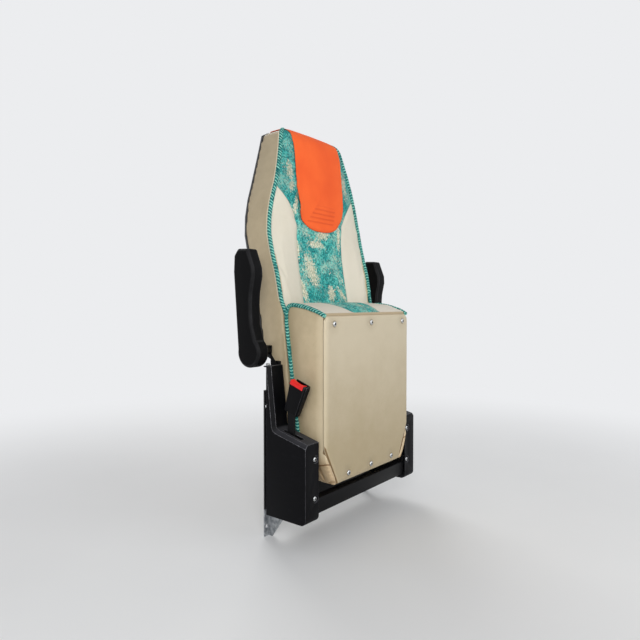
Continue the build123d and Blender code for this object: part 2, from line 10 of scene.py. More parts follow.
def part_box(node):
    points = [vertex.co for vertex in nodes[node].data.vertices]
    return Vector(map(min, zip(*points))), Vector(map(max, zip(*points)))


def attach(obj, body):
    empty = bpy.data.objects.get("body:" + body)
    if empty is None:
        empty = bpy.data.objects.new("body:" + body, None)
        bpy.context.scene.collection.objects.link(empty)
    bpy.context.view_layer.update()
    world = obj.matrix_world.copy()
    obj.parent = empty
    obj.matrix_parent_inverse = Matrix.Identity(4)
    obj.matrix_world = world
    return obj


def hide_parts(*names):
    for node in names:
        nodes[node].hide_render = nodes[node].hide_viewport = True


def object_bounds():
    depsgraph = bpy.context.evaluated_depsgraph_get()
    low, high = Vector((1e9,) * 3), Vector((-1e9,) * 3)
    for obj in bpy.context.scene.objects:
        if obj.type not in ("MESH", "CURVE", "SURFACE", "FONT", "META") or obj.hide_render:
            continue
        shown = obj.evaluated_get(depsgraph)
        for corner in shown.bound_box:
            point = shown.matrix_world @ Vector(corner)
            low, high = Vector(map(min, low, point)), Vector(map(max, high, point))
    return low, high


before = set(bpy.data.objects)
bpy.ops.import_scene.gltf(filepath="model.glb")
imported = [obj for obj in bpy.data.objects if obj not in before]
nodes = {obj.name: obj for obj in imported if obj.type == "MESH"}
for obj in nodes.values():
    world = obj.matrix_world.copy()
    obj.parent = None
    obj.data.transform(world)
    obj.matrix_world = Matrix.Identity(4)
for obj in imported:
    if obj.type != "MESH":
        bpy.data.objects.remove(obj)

cad_low, cad_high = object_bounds()

# Camera. It stands where the photograph was taken from: before the seat, a
# little to the sitter's right, at about the height of the cushion's top edge.
def placed(name, data):
    """A new object of the scene."""
    made = bpy.data.objects.new(name, data)
    bpy.context.scene.collection.objects.link(made)
    return made


# in pixels: the photograph's side, the focal length and the middle's shift
PHOTO_SIDE = 640
FOCAL_PIXELS = 556
SHIFT_PIXELS = -4
SENSOR_WIDTH = 36
CAMERA_DIP = 1.3
CAMERA_TURN = -51.5
camera = placed("camera", bpy.data.cameras.new("camera"))
camera.location = (-1.2088, -0.9625, 0.4045)
camera.rotation_euler = (radians(90 - CAMERA_DIP), 0, radians(CAMERA_TURN))
camera.data.sensor_width = SENSOR_WIDTH
camera.data.lens = SENSOR_WIDTH * FOCAL_PIXELS / PHOTO_SIDE
camera.data.shift_y = SHIFT_PIXELS / PHOTO_SIDE
bpy.context.scene.camera = camera
bpy.context.scene.view_settings.view_transform = "Standard"


# Cushion board. It is a plate with cut rear corners under smooth tan vinyl,
# pulled over its edges and puckered a little round the six screws.
class Wire:
    """A shader socket. Its operators add Math nodes, and add() any other node."""

    def __init__(self, tree, socket=None):
        self.tree = tree
        self.socket = socket

    def add(self, kind, settings=None, sockets=None, out=0):
        made = self.tree.nodes.new("ShaderNode" + kind)
        for name, value in (settings or {}).items():
            setattr(made, name, value)
        for name, value in (sockets or {}).items():
            if isinstance(value, Wire):
                self.tree.links.new(value.socket, made.inputs[name])
            else:
                made.inputs[name].default_value = value
        return Wire(self.tree, made.outputs[out] if made.outputs else None)

    def place(self):
        """Where on the piece the shaded point is."""
        return self.add("TexCoord", out="Object")

    def maths(self, operation, first, second=0.0):
        return self.add("Math", {"operation": operation}, {0: first, 1: second})

    def __add__(self, other):
        return self.maths("ADD", self, other)

    def __sub__(self, other):
        return self.maths("SUBTRACT", self, other)

    def __rsub__(self, other):
        return self.maths("SUBTRACT", other, self)

    def __mul__(self, other):
        return self.maths("MULTIPLY", self, other)

    def __truediv__(self, other):
        return self.maths("DIVIDE", self, other)

    def __pow__(self, other):
        return self.maths("POWER", self, other)

    __radd__ = __add__
    __rmul__ = __mul__

    def size(self):
        return self.maths("ABSOLUTE", self)

    def sine(self):
        return self.maths("SINE", self)

    def least(self, other):
        return self.maths("MINIMUM", self, other)

    def most(self, other):
        return self.maths("MAXIMUM", self, other)

    def rise(self, low, high):
        """0 below low and 1 above high, smooth between; low may be the larger."""
        kind = {"interpolation_type": "SMOOTHSTEP"}
        return self.add("MapRange", kind, {"Value": self, "From Min": low, "From Max": high})

    def blend_value(self, low, high):
        """The number low where this is 0, and high where it is 1."""
        return self.add("Mix", None, {0: self, 2: low, 3: high})

    def blend(self, low, high):
        """The colour low where this is 0, and high where it is 1."""
        return self.add("Mix", {"data_type": "RGBA"}, {0: self, 6: low, 7: high}, out=2)

    def axis(self, index):
        return self.add("SeparateXYZ", None, {0: self}, out=index)

    def stretched(self, x, y, z):
        return self.add("VectorMath", {"operation": "MULTIPLY"}, {0: self, 1: (x, y, z)})

    def turned(self, x, y, z):
        angles = (radians(x), radians(y), radians(z))
        return self.add("VectorRotate", {"rotation_type": "EULER_XYZ"}, {0: self, 4: angles})

    def noise(self, scale, detail=2.0, roughness=0.5):
        values = {"Vector": self, "Scale": scale, "Detail": detail, "Roughness": roughness}
        return self.add("TexNoise", None, values)

    def cells(self, scale, feature="F1"):
        return self.add("TexVoronoi", {"feature": feature}, {"Vector": self, "Scale": scale})

    def far(self, point):
        """Distance to a point."""
        return self.add("VectorMath", {"operation": "DISTANCE"}, {0: self, 1: point}, out=1)

    def relief(self, depth, strength=1.0, under=None):
        """A normal from this height, 0 to 1, that is depth metres high."""
        values = {"Height": self, "Distance": depth, "Strength": strength}
        if under is not None:
            values["Normal"] = under
        return self.add("Bump", None, values)


def paint(red, green, blue):
    """A colour as it shows, in steps of 255, made linear."""
    linear = []
    for step in (red, green, blue):
        value = step / 255
        linear.append(value / 12.92 if value < 0.04045 else ((value + 0.055) / 1.055) ** 2.4)
    return (*linear, 1.0)


def finish(name, surface):
    """A material; surface takes the place on the piece and gives the shader's sockets."""
    made = bpy.data.materials.new(name)
    made.use_nodes = True
    made.node_tree.nodes.clear()
    start = Wire(made.node_tree)
    shader = start.add("BsdfPrincipled", None, surface(start.place()))
    start.add("OutputMaterial", None, {"Surface": shader})
    return made


def show(name, mesh, materials, body, stands_for=()):
    """A mesh as a piece of the seat that moves with a body."""
    made = placed(name, mesh)
    for material in materials:
        mesh.materials.append(material)
    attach(made, body)
    if stands_for:
        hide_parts(*stands_for)
    return made


def meshed(shape, name, crease=None):
    """The mesh of a finished shape; edges bent by more than crease degrees stay sharp."""
    mesh = bpy.data.meshes.new(name)
    shape.to_mesh(mesh)
    shape.free()
    if crease is not None:
        mesh.set_sharp_from_angle(angle=radians(crease))
    return mesh


board_low, board_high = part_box("seat_board")
BOARD_CUT_X = 0.0475
BOARD_CUT_Z = 0.092
BOARD_TOP_CUT = 0.0095
BOARD_LIP = (
    # how far inside the board's edge, how far behind its face
    (0.0115, 0.0000),
    (0.0098, 0.0001),
    (0.0076, 0.0006),
    (0.0042, 0.0017),
    (0.0016, 0.0034),
    (-0.0006, 0.0054),
    (-0.0016, 0.0070),
    (-0.0010, 0.0084),
    (0.0018, 0.0095),
    (0.0060, 0.0100),
)
BOARD_CORNER_R = 0.0030
BOARD_WAVE = 0.0012
CUT_OUT = Vector((BOARD_CUT_Z, -BOARD_CUT_X)).normalized()
SCREW_IN = 0.017
SCREW_ROWS = (
    # height, how far out from the middle
    (board_high.z - SCREW_IN, 0.158),
    (board_low.z + SCREW_IN, 0.100),
)
screw_places = [
    Vector((x, board_low.y, z)) for z, reach in SCREW_ROWS for x in (-reach, 0, reach)
]
PUCKER_OUT = 0.034
PUCKER_IN = 0.005
# the ring of painted shade round each screw head
SHADE_RING_OUT = 0.0096
SHADE_RING_IN = 0.0068
# painted shade in the seams and tucks
PAINTED_SEAM_SHADE = paint(112, 84, 44)


VINYL_GRAIN = 0.00006


def vinyl_grain(place):
    """Fine leather grain: small flat pebbles with creases between."""
    pebbles = place.cells(1500, "DISTANCE_TO_EDGE").rise(0.0, 0.22)
    return pebbles * 0.7 + place.noise(2600, 1) * 0.3


def vinyl_soil(place):
    """Slow change of tone, with faint smudges."""
    return place.noise(6, 3) * 0.6 + place.noise(38, 3, 0.6) * 0.4


def outside_cut(reach, z):
    """How far a point is outside the line of the board's cut corners; its reach
    from the middle and its height may be numbers or sockets."""
    return (reach - board_high.x) * CUT_OUT.x + (z - board_low.z - BOARD_CUT_Z) * CUT_OUT.y


def near_any(place, points, far, near):
    """1 closer than near to one of the points, falling to 0 at far."""
    mask = None
    for point in points:
        one = place.far(point).rise(far, near)
        mask = one if mask is None else mask.most(one)
    return mask


def board_vinyl(place):
    """Tan vinyl, painted paler towards its top and on its lip as painted light, with painted
    shade in a line where it tucks in at the board's back and at the cuts, and in the puckers
    and round the heads."""
    y = place.axis(1)
    z = place.axis(2)
    pucker = near_any(place, screw_places, PUCKER_OUT, PUCKER_IN)
    folds = place.noise(90, 2).rise(0.3, 0.7)
    height = 1 - pucker * pucker * (folds * 0.5 + 0.6)
    # painted light: paler towards the board's top, mixed with the slow random tone
    tone = vinyl_soil(place) * 0.5 + z.rise(board_low.z, board_high.z) * 0.5
    colour = tone.rise(0.15, 0.85).blend(paint(168, 152, 120), paint(198, 186, 161))
    # painted highlight on the rounded lip
    lip = y.rise(board_low.y, board_low.y + 0.0044)
    colour = (lip * 0.45).blend(colour, paint(218, 202, 170))
    # painted shade in a line where the vinyl tucks in at the board's back and along the cuts
    at_back = y.rise(board_high.y - 0.0032, board_high.y - 0.0014)
    at_back = at_back * z.rise(board_high.z - 0.003, board_high.z - 0.006)
    behind_lip = y.rise(board_low.y + 0.0020, board_low.y + 0.0032)
    behind_lip = behind_lip * y.rise(board_low.y + 0.0064, board_low.y + 0.0050)
    at_cut = outside_cut(place.axis(0).size(), z).rise(-0.0034, -0.0018)
    colour = at_back.most(at_cut * behind_lip * 0.9).blend(colour, PAINTED_SEAM_SHADE)
    # painted shade in a ring round each head, and below, painted shade in the puckers
    ring = near_any(place, screw_places, SHADE_RING_OUT, SHADE_RING_IN)
    colour = (ring * 0.7).blend(colour, paint(104, 88, 62))
    return {
        "Base Color": (pucker * 0.25).blend(colour, paint(150, 134, 104)),
        "Roughness": 0.46 + vinyl_soil(place) * 0.12,
        "Normal": vinyl_grain(place).relief(VINYL_GRAIN, 0.7, height.relief(0.0022)),
    }


def with_neighbours(corners):
    """Each corner of a closed outline between the one before and the one after."""
    return zip([corners[-1], *corners], corners, [*corners[1:], corners[0]])


def inset_corners(corners, inset):
    """The corners of a convex outline after each side moves in by inset."""
    moved = []
    for before, here, after in with_neighbours(corners):
        run_in = (here - before).normalized()
        run_out = (after - here).normalized()
        inward = Vector((-run_in.y, run_in.x)) + Vector((-run_out.y, run_out.x))
        moved.append(here + inward * (2 * inset / inward.length_squared))
    return moved


def outline_points(corners, radius):
    """Points round an outline: nine along each side, and seven on the curve that
    rounds each corner."""
    points = []
    shortest = min((here - before).length for before, here, _ in with_neighbours(corners))
    radius = min(radius, shortest * 0.45)
    for before, here, after in with_neighbours(corners):
        start = here + (before - here).normalized() * radius
        end = here + (after - here).normalized() * radius
        for k in range(7):
            share = k / 6
            points.append(start.lerp(here, share).lerp(here.lerp(end, share), share))
        stop = after + (here - after).normalized() * radius
        for k in range(1, 10):
            points.append(end.lerp(stop, k / 10))
    return points


def board_cover_mesh():
    """The board in its vinyl: flat in front, with a soft lip all round."""
    half = board_high.x
    right = [
        Vector((half - BOARD_CUT_X, board_low.z)),
        Vector((half, board_low.z + BOARD_CUT_Z)),
        Vector((half, board_high.z - BOARD_TOP_CUT)),
        Vector((half - BOARD_TOP_CUT, board_high.z)),
    ]
    corners = [*right, *[Vector((-point.x, point.y)) for point in reversed(right)]]
    shape = bmesh.new()
    rings = []
    for inset, depth in BOARD_LIP:
        ring = []
        for point in outline_points(inset_corners(corners, inset), BOARD_CORNER_R):
            wave = sin(point.x * 61 + point.y * 83) + sin(point.x * 150 - point.y * 97) * 0.5
            x = point.x * (1 + wave * BOARD_WAVE)
            ring.append(shape.verts.new((x, board_low.y + depth, point.y)))
        rings.append(ring)
    for outer, inner in zip(rings[1:], rings):
        for k in range(len(outer)):
            shape.faces.new((outer[k - 1], outer[k], inner[k], inner[k - 1]))
    shape.faces.new(rings[0])
    shape.faces.new(list(reversed(rings[-1])))
    bmesh.ops.recalc_face_normals(shape, faces=shape.faces)
    for face in shape.faces:
        face.smooth = len(face.verts) == 4
    return meshed(shape, "board_cover")


board_look = finish("board_vinyl", board_vinyl)
show("board_cover", board_cover_mesh(), [board_look], "cushion", ["seat_board"])


# Board screws. Six domed, zinc-plated heads with a cross recess clamp the
# vinyl to the board.
HEAD_TURNS = [2 * pi * k / 48 for k in range(48)]
HEAD_RIM = 0.0004
HEAD_CREASE = 35
CROSS_WAIST = 0.38


def turned_head(name, radius, height, socket_radius, socket_depth, arms):
    """A domed screw head, rim at z = 0, with a cross (arms 4) or hexagon (6) recess."""
    shape = bmesh.new()

    def ring(reaches, z):
        spots = [(r * cos(turn), r * sin(turn), z) for r, turn in zip(reaches, HEAD_TURNS)]
        return [shape.verts.new(spot) for spot in spots]

    first = asin(socket_radius * 1.06 / radius)
    dome = []
    for k in range(9):
        angle = first + (pi / 2 - first) * k / 8
        dome.append((radius * sin(angle), HEAD_RIM + (height - HEAD_RIM) * cos(angle)))
    if arms == 4:
        socket = [1.0 if abs(sin(2 * turn)) < 0.5 else CROSS_WAIST for turn in HEAD_TURNS]
    else:
        socket = [cos(pi / 6) / cos(turn % (pi / 3) - pi / 6) for turn in HEAD_TURNS]
    socket = [socket_radius * share for share in socket]
    rings = [ring(socket, height - socket_depth), ring(socket, dome[0][1])]
    for reach, z in [*dome, (radius, 0.0), (radius * 0.7, 0.0)]:
        rings.append(ring([reach] * len(HEAD_TURNS), z))
    for inner, outer in zip(rings, rings[1:]):
        for k in range(len(HEAD_TURNS)):
            shape.faces.new((inner[k - 1], outer[k - 1], outer[k], inner[k]))
    shape.faces.new(rings[0])
    shape.faces.new(list(reversed(rings[-1])))
    bmesh.ops.recalc_face_normals(shape, faces=shape.faces)
    for face in shape.faces:
        face.smooth = True
    return meshed(shape, name, HEAD_CREASE)


def plated_steel(place):
    brushed = place.stretched(900, 900, 60).noise(1.0, 2)
    return {
        "Base Color": place.noise(300, 2).blend(paint(176, 178, 180), paint(206, 208, 208)),
        "Metallic": 1.0,
        "Roughness": 0.24 + brushed * 0.14,
        "Normal": brushed.relief(0.00003, 0.5),
    }


def head_metal(places, socket_radius, socket_out):
    """Plated steel with painted shade in the sockets of the heads at these places."""
    middles = [point - Vector((0, socket_out, 0)) for point in places]

    def surface(place):
        made = plated_steel(place)
        # painted shade in the sockets: dark and not metallic
        socket_shade = near_any(place, middles, socket_radius * 1.10, socket_radius * 0.92)
        made["Base Color"] = socket_shade.blend(made["Base Color"], paint(26, 25, 24))
        made["Metallic"] = 1 - socket_shade
        return made

    return surface


def heads_mesh(head, places, turn):
    """Copies of one screw or rivet head, turned about X from facing up."""
    shape = bmesh.new()
    for point in places:
        one = head.copy()
        one.transform(Matrix.Translation(point) @ Matrix.Rotation(radians(turn), 4, "X"))
        shape.from_mesh(one)
        bpy.data.meshes.remove(one)
    return meshed(shape, head.name + "s", HEAD_CREASE)


TO_FRONT = 90
TO_REAR = -90
SCREW_SOCKET = 0.0030
screw_head = turned_head("board_screw", 0.0064, 0.0029, SCREW_SOCKET, 0.0016, arms=4)
screw_heads = heads_mesh(screw_head, screw_places, TO_FRONT)
screw_look = finish("board_head_metal", head_metal(screw_places, SCREW_SOCKET, 0.0020))
show("board_screw_heads", screw_heads, [screw_look], "cushion", ["board_screws"])


# Cushion. A wedge of foam under tan vinyl sides, with a fabric strip between
# cream panels on the seat face and nose, and fabric piping along both edges.
_, pad_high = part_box("cushion_pad")
CUSHION_HALF = pad_high.x
SEAM_OUT = 0.098
NOSE_SEAM_OUT = 0.056
# the seat face ends and the nose begins above this height; on the nose the
# strip narrows from this depth on, over this run
NOSE_Z = 0.37
NOSE_TAPER_Y = -0.058
NOSE_TAPER_RUN = 0.11
SEAM_GROOVE = 0.0022
SEAM_HOLD = 0.012
HINGE = Vector((0, -0.123, 0.018))
HINGE_POCKET_R = 0.040
HINGE_POCKET = (0.143, 0.186)
VOXEL = 0.005
CLOTH_STEPS = 20
BEHIND_BOARD = board_high.y + 0.003
CUT_TOP = board_low.z + BOARD_CUT_Z
CUSHION_SIDE = [
    # the side's outline from the board's top edge over the nose and down the
    # seat face: y, z
    (-0.1675, 0.3785),
    (-0.1435, 0.3890),
    (-0.1045, 0.4005),
    (-0.0700, 0.4045),
    (-0.0540, 0.4035),
    (-0.0470, 0.3960),
    (-0.0450, 0.3800),
    (-0.0455, 0.3600),
    (-0.0990, -0.0250),
]


def clamped(share):
    return min(1.0, max(0.0, share))


def line_distance(y, z, points):
    """How far a point of the side view is from a line through points."""
    gaps = []
    for (start_y, start_z), (end_y, end_z) in zip(points, points[1:]):
        run_y = end_y - start_y
        run_z = end_z - start_z
        share = (y - start_y) * run_y + (z - start_z) * run_z
        share = clamped(share / (run_y**2 + run_z**2))
        gap_y = y - start_y - share * run_y
        gap_z = z - start_z - share * run_z
        gaps.append(sqrt(gap_y**2 + gap_z**2))
    return min(gaps)


def applied(source):
    """The object with its modifiers applied."""
    depsgraph = bpy.context.evaluated_depsgraph_get()
    mesh = bpy.data.meshes.new_from_object(source.evaluated_get(depsgraph))
    source.modifiers.clear()
    source.data = mesh
    return source


def voxelled(name, node, voxel):
    """A CAD solid's mesh as even quads."""
    source = placed(name, nodes[node].data.copy())
    remesh = source.modifiers.new("even", "REMESH")
    remesh.mode = "VOXEL"
    remesh.voxel_size = voxel
    source.data.materials.clear()
    return applied(source)


def weigh(source, name, weight):
    """A vertex group in which each point has the weight of its place."""
    group = source.vertex_groups.new(name=name)
    for vertex in source.data.vertices:
        share = weight(vertex.co)
        if share > 0:
            group.add([vertex.index], share, "REPLACE")


def smoothed(source, held, times):
    """The free part of the pad relaxed, so that no flat facets of the solid stay."""
    weigh(source, "free", lambda spot: 1 - held(spot))
    relax = source.modifiers.new("relax", "SMOOTH")
    relax.factor = 0.5
    relax.iterations = times
    relax.vertex_group = "free"
    return applied(source)


def blown_up(source, held, pressure, cap):
    """The pad filled as cloth; a point moves at most cap from its start."""
    rest = [vertex.co.copy() for vertex in source.data.vertices]
    weigh(source, "held", held)
    cloth = source.modifiers.new("filling", "CLOTH")
    cloth.settings.use_pressure = True
    cloth.settings.uniform_pressure_force = pressure
    cloth.settings.effector_weights.gravity = 0
    cloth.settings.vertex_group_mass = "held"
    cloth.point_cache.frame_start = 1
    cloth.point_cache.frame_end = CLOTH_STEPS
    for step in range(1, CLOTH_STEPS + 1):
        bpy.context.scene.frame_set(step)
    applied(source)
    bpy.context.scene.frame_set(1)
    for vertex, start in zip(source.data.vertices, rest):
        move = vertex.co - start
        if move.length > cap:
            vertex.co = start + move * (cap / move.length)
    return source


def finer(source):
    """One subdivision, for a smooth skin."""
    divide = source.modifiers.new("finer", "SUBSURF")
    divide.levels = 1
    divide.render_levels = 1
    return applied(source)


def covered(source, looks, body, node, is_second):
    """The pad as a piece of its CAD node; faces for which is_second says so take
    the second look."""
    name = source.name
    mesh = source.data
    bpy.data.objects.remove(source)
    made = show(name, mesh, looks, body, [node])
    for face in mesh.polygons:
        face.use_smooth = True
        face.material_index = 1 if is_second(face.center, face.normal) else 0
    return made


def seam_bell(away):
    """1 at a seam and 0 from about 15 mm beside it."""
    return 2.718 ** (-((away / 0.006) ** 2))


def cushion_held(point):
    """1 where board, seams or hinge hold the cover, falling to 0 between them."""
    board = 1.0 if point.y < BEHIND_BOARD else 0.0
    side = max(0.0, 1 - (CUSHION_HALF - abs(point.x)) / SEAM_HOLD)
    seam = max(0.0, 1 - line_distance(point.y, point.z, CUSHION_SIDE) / SEAM_HOLD)
    reach = sqrt((point.y - HINGE.y) ** 2 + (point.z - HINGE.z) ** 2)
    beside_arm = HINGE_POCKET[0] < abs(point.x) < HINGE_POCKET[1]
    pocket = 1.0 if reach < HINGE_POCKET_R and beside_arm else 0.0
    return max(board, min(side, seam) ** 0.5, pocket)


# the lower corners, where the vinyl is gathered round the board's cuts
TUCK = Vector((0.1425, -0.165, -0.032))
CORNER_TIP = Vector((0.1390, -0.163, -0.034))
FAN_PLEATS = 8.0
GATHER_R = 0.085
GATHER_SWELL = 0.0030
GATHER_PLEAT = 0.0026
CUT_LIP = 0.0075
TIP_R = 0.03
TIP_DROP = 0.0100


def corner_pleats(away):
    """How far the vinyl stands out round the tuck at a lower corner, in pleats
    that run out from the tuck like a fan."""
    reach = away.length
    swell = GATHER_SWELL * sin(pi * min(1.0, reach / GATHER_R))
    fan = atan2(away.z, away.x - away.y)
    fade = min(1.0, reach / 0.014) * max(0.0, 1 - reach / GATHER_R)
    return swell + GATHER_PLEAT * sin(FAN_PLEATS * fan) * fade


def gather_corners(vertices):
    """The vinyl gathered at the lower corners, and drawn over the board's cuts."""
    for vertex in vertices:
        place = vertex.co
        beside = clamped(outside_cut(abs(place.x), place.z) / 0.004)
        low_corner = place.z < 0.055 and abs(place.x) > 0.10 and place.y < -0.115
        if low_corner and (place.y > BEHIND_BOARD or beside > 0):
            away = Vector((abs(place.x), place.y, place.z)) - TUCK
            place += vertex.normal * corner_pleats(away) * max(beside, 0.3)
        front = max(0.0, 1 - max(0.0, place.y - board_high.y) / 0.014)
        if place.z < CUT_TOP + 0.01:
            place.y -= CUT_LIP * beside * (2 - beside) * front
        tip = (Vector((abs(place.x), place.y, place.z)) - CORNER_TIP).length
        if place.z < 0.01 and tip < TIP_R:
            place.z -= TIP_DROP * (1 - tip / TIP_R) ** 1.5


def seam_half(y, z):
    """Half width of the fabric strip: even on the seat face, narrow at the nose."""
    share = clamped((NOSE_TAPER_Y - y) / NOSE_TAPER_RUN) if z > NOSE_Z else 0.0
    return SEAM_OUT + (NOSE_SEAM_OUT - SEAM_OUT) * share


def groove_seams(vertices):
    """The seams beside the fabric strip drawn in, on the nose and the seat face."""
    (top_y, top_z), (low_y, low_z) = CUSHION_SIDE[-2:]
    slope = (top_y - low_y) / (top_z - low_z)
    for vertex in vertices:
        place = vertex.co
        on_top = place.z > NOSE_Z and place.y > board_high.y + 0.004
        face_y = low_y + (place.z - low_z) * slope
        on_face = place.y > face_y - 0.012 and place.z > 0.0
        if (on_top or on_face) and abs(place.x) < CUSHION_HALF - 0.01:
            away = abs(place.x) - seam_half(place.y, place.z)
            if on_top:
                place.z -= SEAM_GROOVE * seam_bell(away)
            else:
                place.y -= SEAM_GROOVE * seam_bell(away)


cushion = voxelled("cushion", "cushion_pad", VOXEL)
cushion = smoothed(cushion, cushion_held, 4)
cushion = blown_up(cushion, cushion_held, pressure=4.0, cap=0.007)
gather_corners(cushion.data.vertices)
groove_seams(cushion.data.vertices)
cushion = finer(cushion)


def speckle(place):
    """The weave's mottling: stitches of light and dark yarn about 3 mm long."""
    return place.stretched(1, 1, 0.75).noise(270, 1, 0.5).rise(0.36, 0.64)


def weave_height(place):
    """Threads over and under, 1.3 mm apart."""
    across = (place.axis(0) * 4800).sine()
    along = (place.axis(2) * 4800 + place.axis(1) * 2400).sine()
    return across * along * 0.5 + 0.5


def oval(place, x, z, wide, high, lean):
    """1 in the middle of a leaning oval, 0 on its rim and less outside."""
    right = place.axis(0) - x
    up = place.axis(2) - z
    along = up * (cos(lean) / high) - right * (sin(lean) / high)
    across = right * (cos(lean) / wide) + up * (sin(lean) / wide)
    return 1 - (along * along + across * across) ** 0.5


def strokes(place, lean):
    """Thin scratched lines that lean, in a place that is turned."""
    field = place.turned(0, lean, 0).stretched(150, 150, 11).noise(1.0, 2, 0.5)
    return 1 - ((field - 0.5).size() * 26).least(1.0)


def strip_colour(place, cream_share, ovals=()):
    """Teal cloth with soft cream patches: clouds that lean to the sitter's left,
    and ovals of the given place, half sizes and lean. Patches thin out stitch
    by stitch, and scratched lines cross them."""
    cloud = place.turned(0, 38, 0).stretched(46, 46, 17).noise(1.0, 3, 0.6)
    level = cloud.rise(0.50, 0.80) * 0.6 + cream_share
    for row in ovals:
        level = level.most(oval(place, *row) * 1.15 + cloud * 0.9 - 0.28)
    scratches = strokes(place, 40).most(strokes(place, -28)).most(strokes(place, 74))
    faint = place.noise(24, 2).rise(0.42, 0.62)
    stitch = place.stretched(1, 1, 0.8).noise(260, 2, 0.6).rise(0.32, 0.68)
    cream_mask = (level.least(0.92) + stitch * 0.85 - 0.86).rise(-0.10, 0.10)
    shade = place.noise(30, 3, 0.6).rise(0.36, 0.64)
    grain = speckle(place)
    teal = grain.blend(
        shade.blend(paint(0, 98, 101), paint(0, 124, 122)),
        shade.blend(paint(26, 168, 163), paint(106, 212, 199)),
    )
    teal = (scratches * faint * 0.75).blend(teal, paint(190, 220, 198))
    cream = grain.blend(paint(176, 178, 148), paint(238, 227, 204))
    cream = (scratches * 0.35).blend(cream, paint(96, 176, 160))
    return cream_mask.blend(teal, cream)


def sewn_cover(place, panel, seam, fabric, cream, thread):
    """Fabric, and cream vinyl where panel is 1, with thread showing at the seam."""
    vinyl = vinyl_soil(place).blend(*cream)
    height = panel.blend_value(weave_height(place), vinyl_grain(place))
    return {
        "Base Color": (seam * 0.4).blend(panel.blend(fabric, vinyl), thread),
        "Roughness": 0.86 - panel * 0.34,
        "Normal": height.relief(0.00016, 0.8),
    }


def seat_cover(place):
    """The seat face and nose: the strip's edges run in over the nose."""
    on_nose = place.axis(2).rise(NOSE_Z - 0.004, NOSE_Z + 0.006)
    taper = (place.axis(1) * -1 + NOSE_TAPER_Y) / NOSE_TAPER_RUN
    taper = taper.most(0.0).least(1.0) * on_nose
    away = place.axis(0).size() - (taper * (NOSE_SEAM_OUT - SEAM_OUT) + SEAM_OUT)
    return sewn_cover(
        place,
        panel=away.rise(-0.0012, 0.0012),
        seam=1 - away.size().rise(0.0006, 0.0026),
        fabric=strip_colour(place, 0.02),
        cream=(paint(216, 208, 190), paint(230, 223, 208)),
        thread=paint(120, 110, 90),
    )


def corner_folds(x, y, z, wander):
    """Painted shade in the creases of the pleats that fan out from the tuck; they wander a
    little.
    """
    fan = z.maths("ARCTAN2", z - TUCK.z, x - TUCK.x - y + TUCK.y)
    corner = z.rise(0.030, 0.010) * y.rise(-0.120, -0.140)
    return (fan * FAN_PLEATS + wander).sine().rise(-0.35, -0.95) * corner


def board_groove_shade(y, z, past_cut):
    """Painted shade in the groove where the board's vinyl begins: behind the board's edge,
    and along its cuts. It is fainter over the board's top edge."""
    behind = y.rise(board_high.y + 0.0032, board_high.y + 0.0014)
    at_cut = behind * past_cut.rise(0.0044, 0.0026)
    at_edge = behind * y.rise(board_high.y - 0.0026, board_high.y - 0.0010)
    at_edge = at_edge * z.rise(CUT_TOP - 0.003, CUT_TOP + 0.001)
    below_top = z.rise(board_high.z - 0.001, board_high.z - 0.006)
    return at_edge.most(at_cut) * below_top.blend_value(0.45, 1.0)


def tan_vinyl(place):
    """Sides and boxing: darker, painted darker still higher up and beside the piping (painted
    shade) and paler near the board (painted highlight), with soft drag lines, a sewn seam and
    pleats at the tucks with painted shade in their creases and at the lower corners, and
    painted shade in the grooves where the board's vinyl begins."""
    x = place.axis(0).size()
    y = place.axis(1)
    z = place.axis(2)
    drag = place.stretched(9, 26, 9).turned(24, 0, 0).noise(1.0, 3, 0.5)
    tone = vinyl_soil(place).rise(0.25, 0.75)
    pleats = corner_folds(x, y, z, place.noise(40, 2) * 1.6)
    seam_height = z - 0.0258 + (y + 0.168) * 0.24 + (x * -1 + 0.190) * 0.17
    seam = seam_height.size().rise(0.0026, 0.0008) * y.rise(-0.112, -0.120)
    past_cut = outside_cut(x, z)
    lip = y.rise(board_high.y + 0.024, board_high.y + 0.004)
    # how far before the line of the seat face
    face = y + 0.0955 - z * 0.139
    piping_shade = face.rise(-0.045, -0.004) * y.rise(-0.030, -0.045)
    # painted shade: darker higher up
    high = z.rise(0.30, 0.85)
    vinyl = tone.blend(
        high.blend(paint(192, 174, 140), paint(164, 148, 120)),
        high.blend(paint(212, 194, 160), paint(182, 167, 138)),
    )
    # painted shade beside the piping
    vinyl = (piping_shade * 0.45).blend(vinyl, paint(150, 130, 96))
    # painted highlight near the board, where the side rounds forward
    vinyl = (lip * 0.5).blend(vinyl, paint(226, 210, 178))
    # painted shade, brownish, on the gathered vinyl at the lower corners
    corner_shade = past_cut.rise(0.0030, 0.0070) * y.rise(-0.115, -0.145)
    corner_shade = corner_shade * z.rise(0.052, 0.020)
    vinyl = (corner_shade * 0.55).blend(vinyl, paint(176, 142, 100))
    # painted shade in the pleats' creases, and the dark line of the sewn seam
    vinyl = (pleats * 0.5 + seam * 0.85).least(1.0).blend(vinyl, paint(118, 84, 44))
    shape = (drag * 0.5 + lip * -0.5 - seam * 0.3 - pleats * 0.25).relief(0.004, 0.6)
    return {
        # painted shade in the groove where the board's vinyl begins
        "Base Color": board_groove_shade(y, z, past_cut).blend(vinyl, PAINTED_SEAM_SHADE),
        "Roughness": 0.45 + tone * 0.1,
        "Normal": vinyl_grain(place).relief(VINYL_GRAIN, 0.7, shape),
    }


def cushion_is_vinyl(centre, normal):
    under = normal.z < -0.45
    side = abs(centre.x) > CUSHION_HALF - 0.003 or abs(normal.x) > 0.75
    cut = centre.z < CUT_TOP and abs(normal.x) > 0.3
    return under or side or cut or centre.y < BEHIND_BOARD


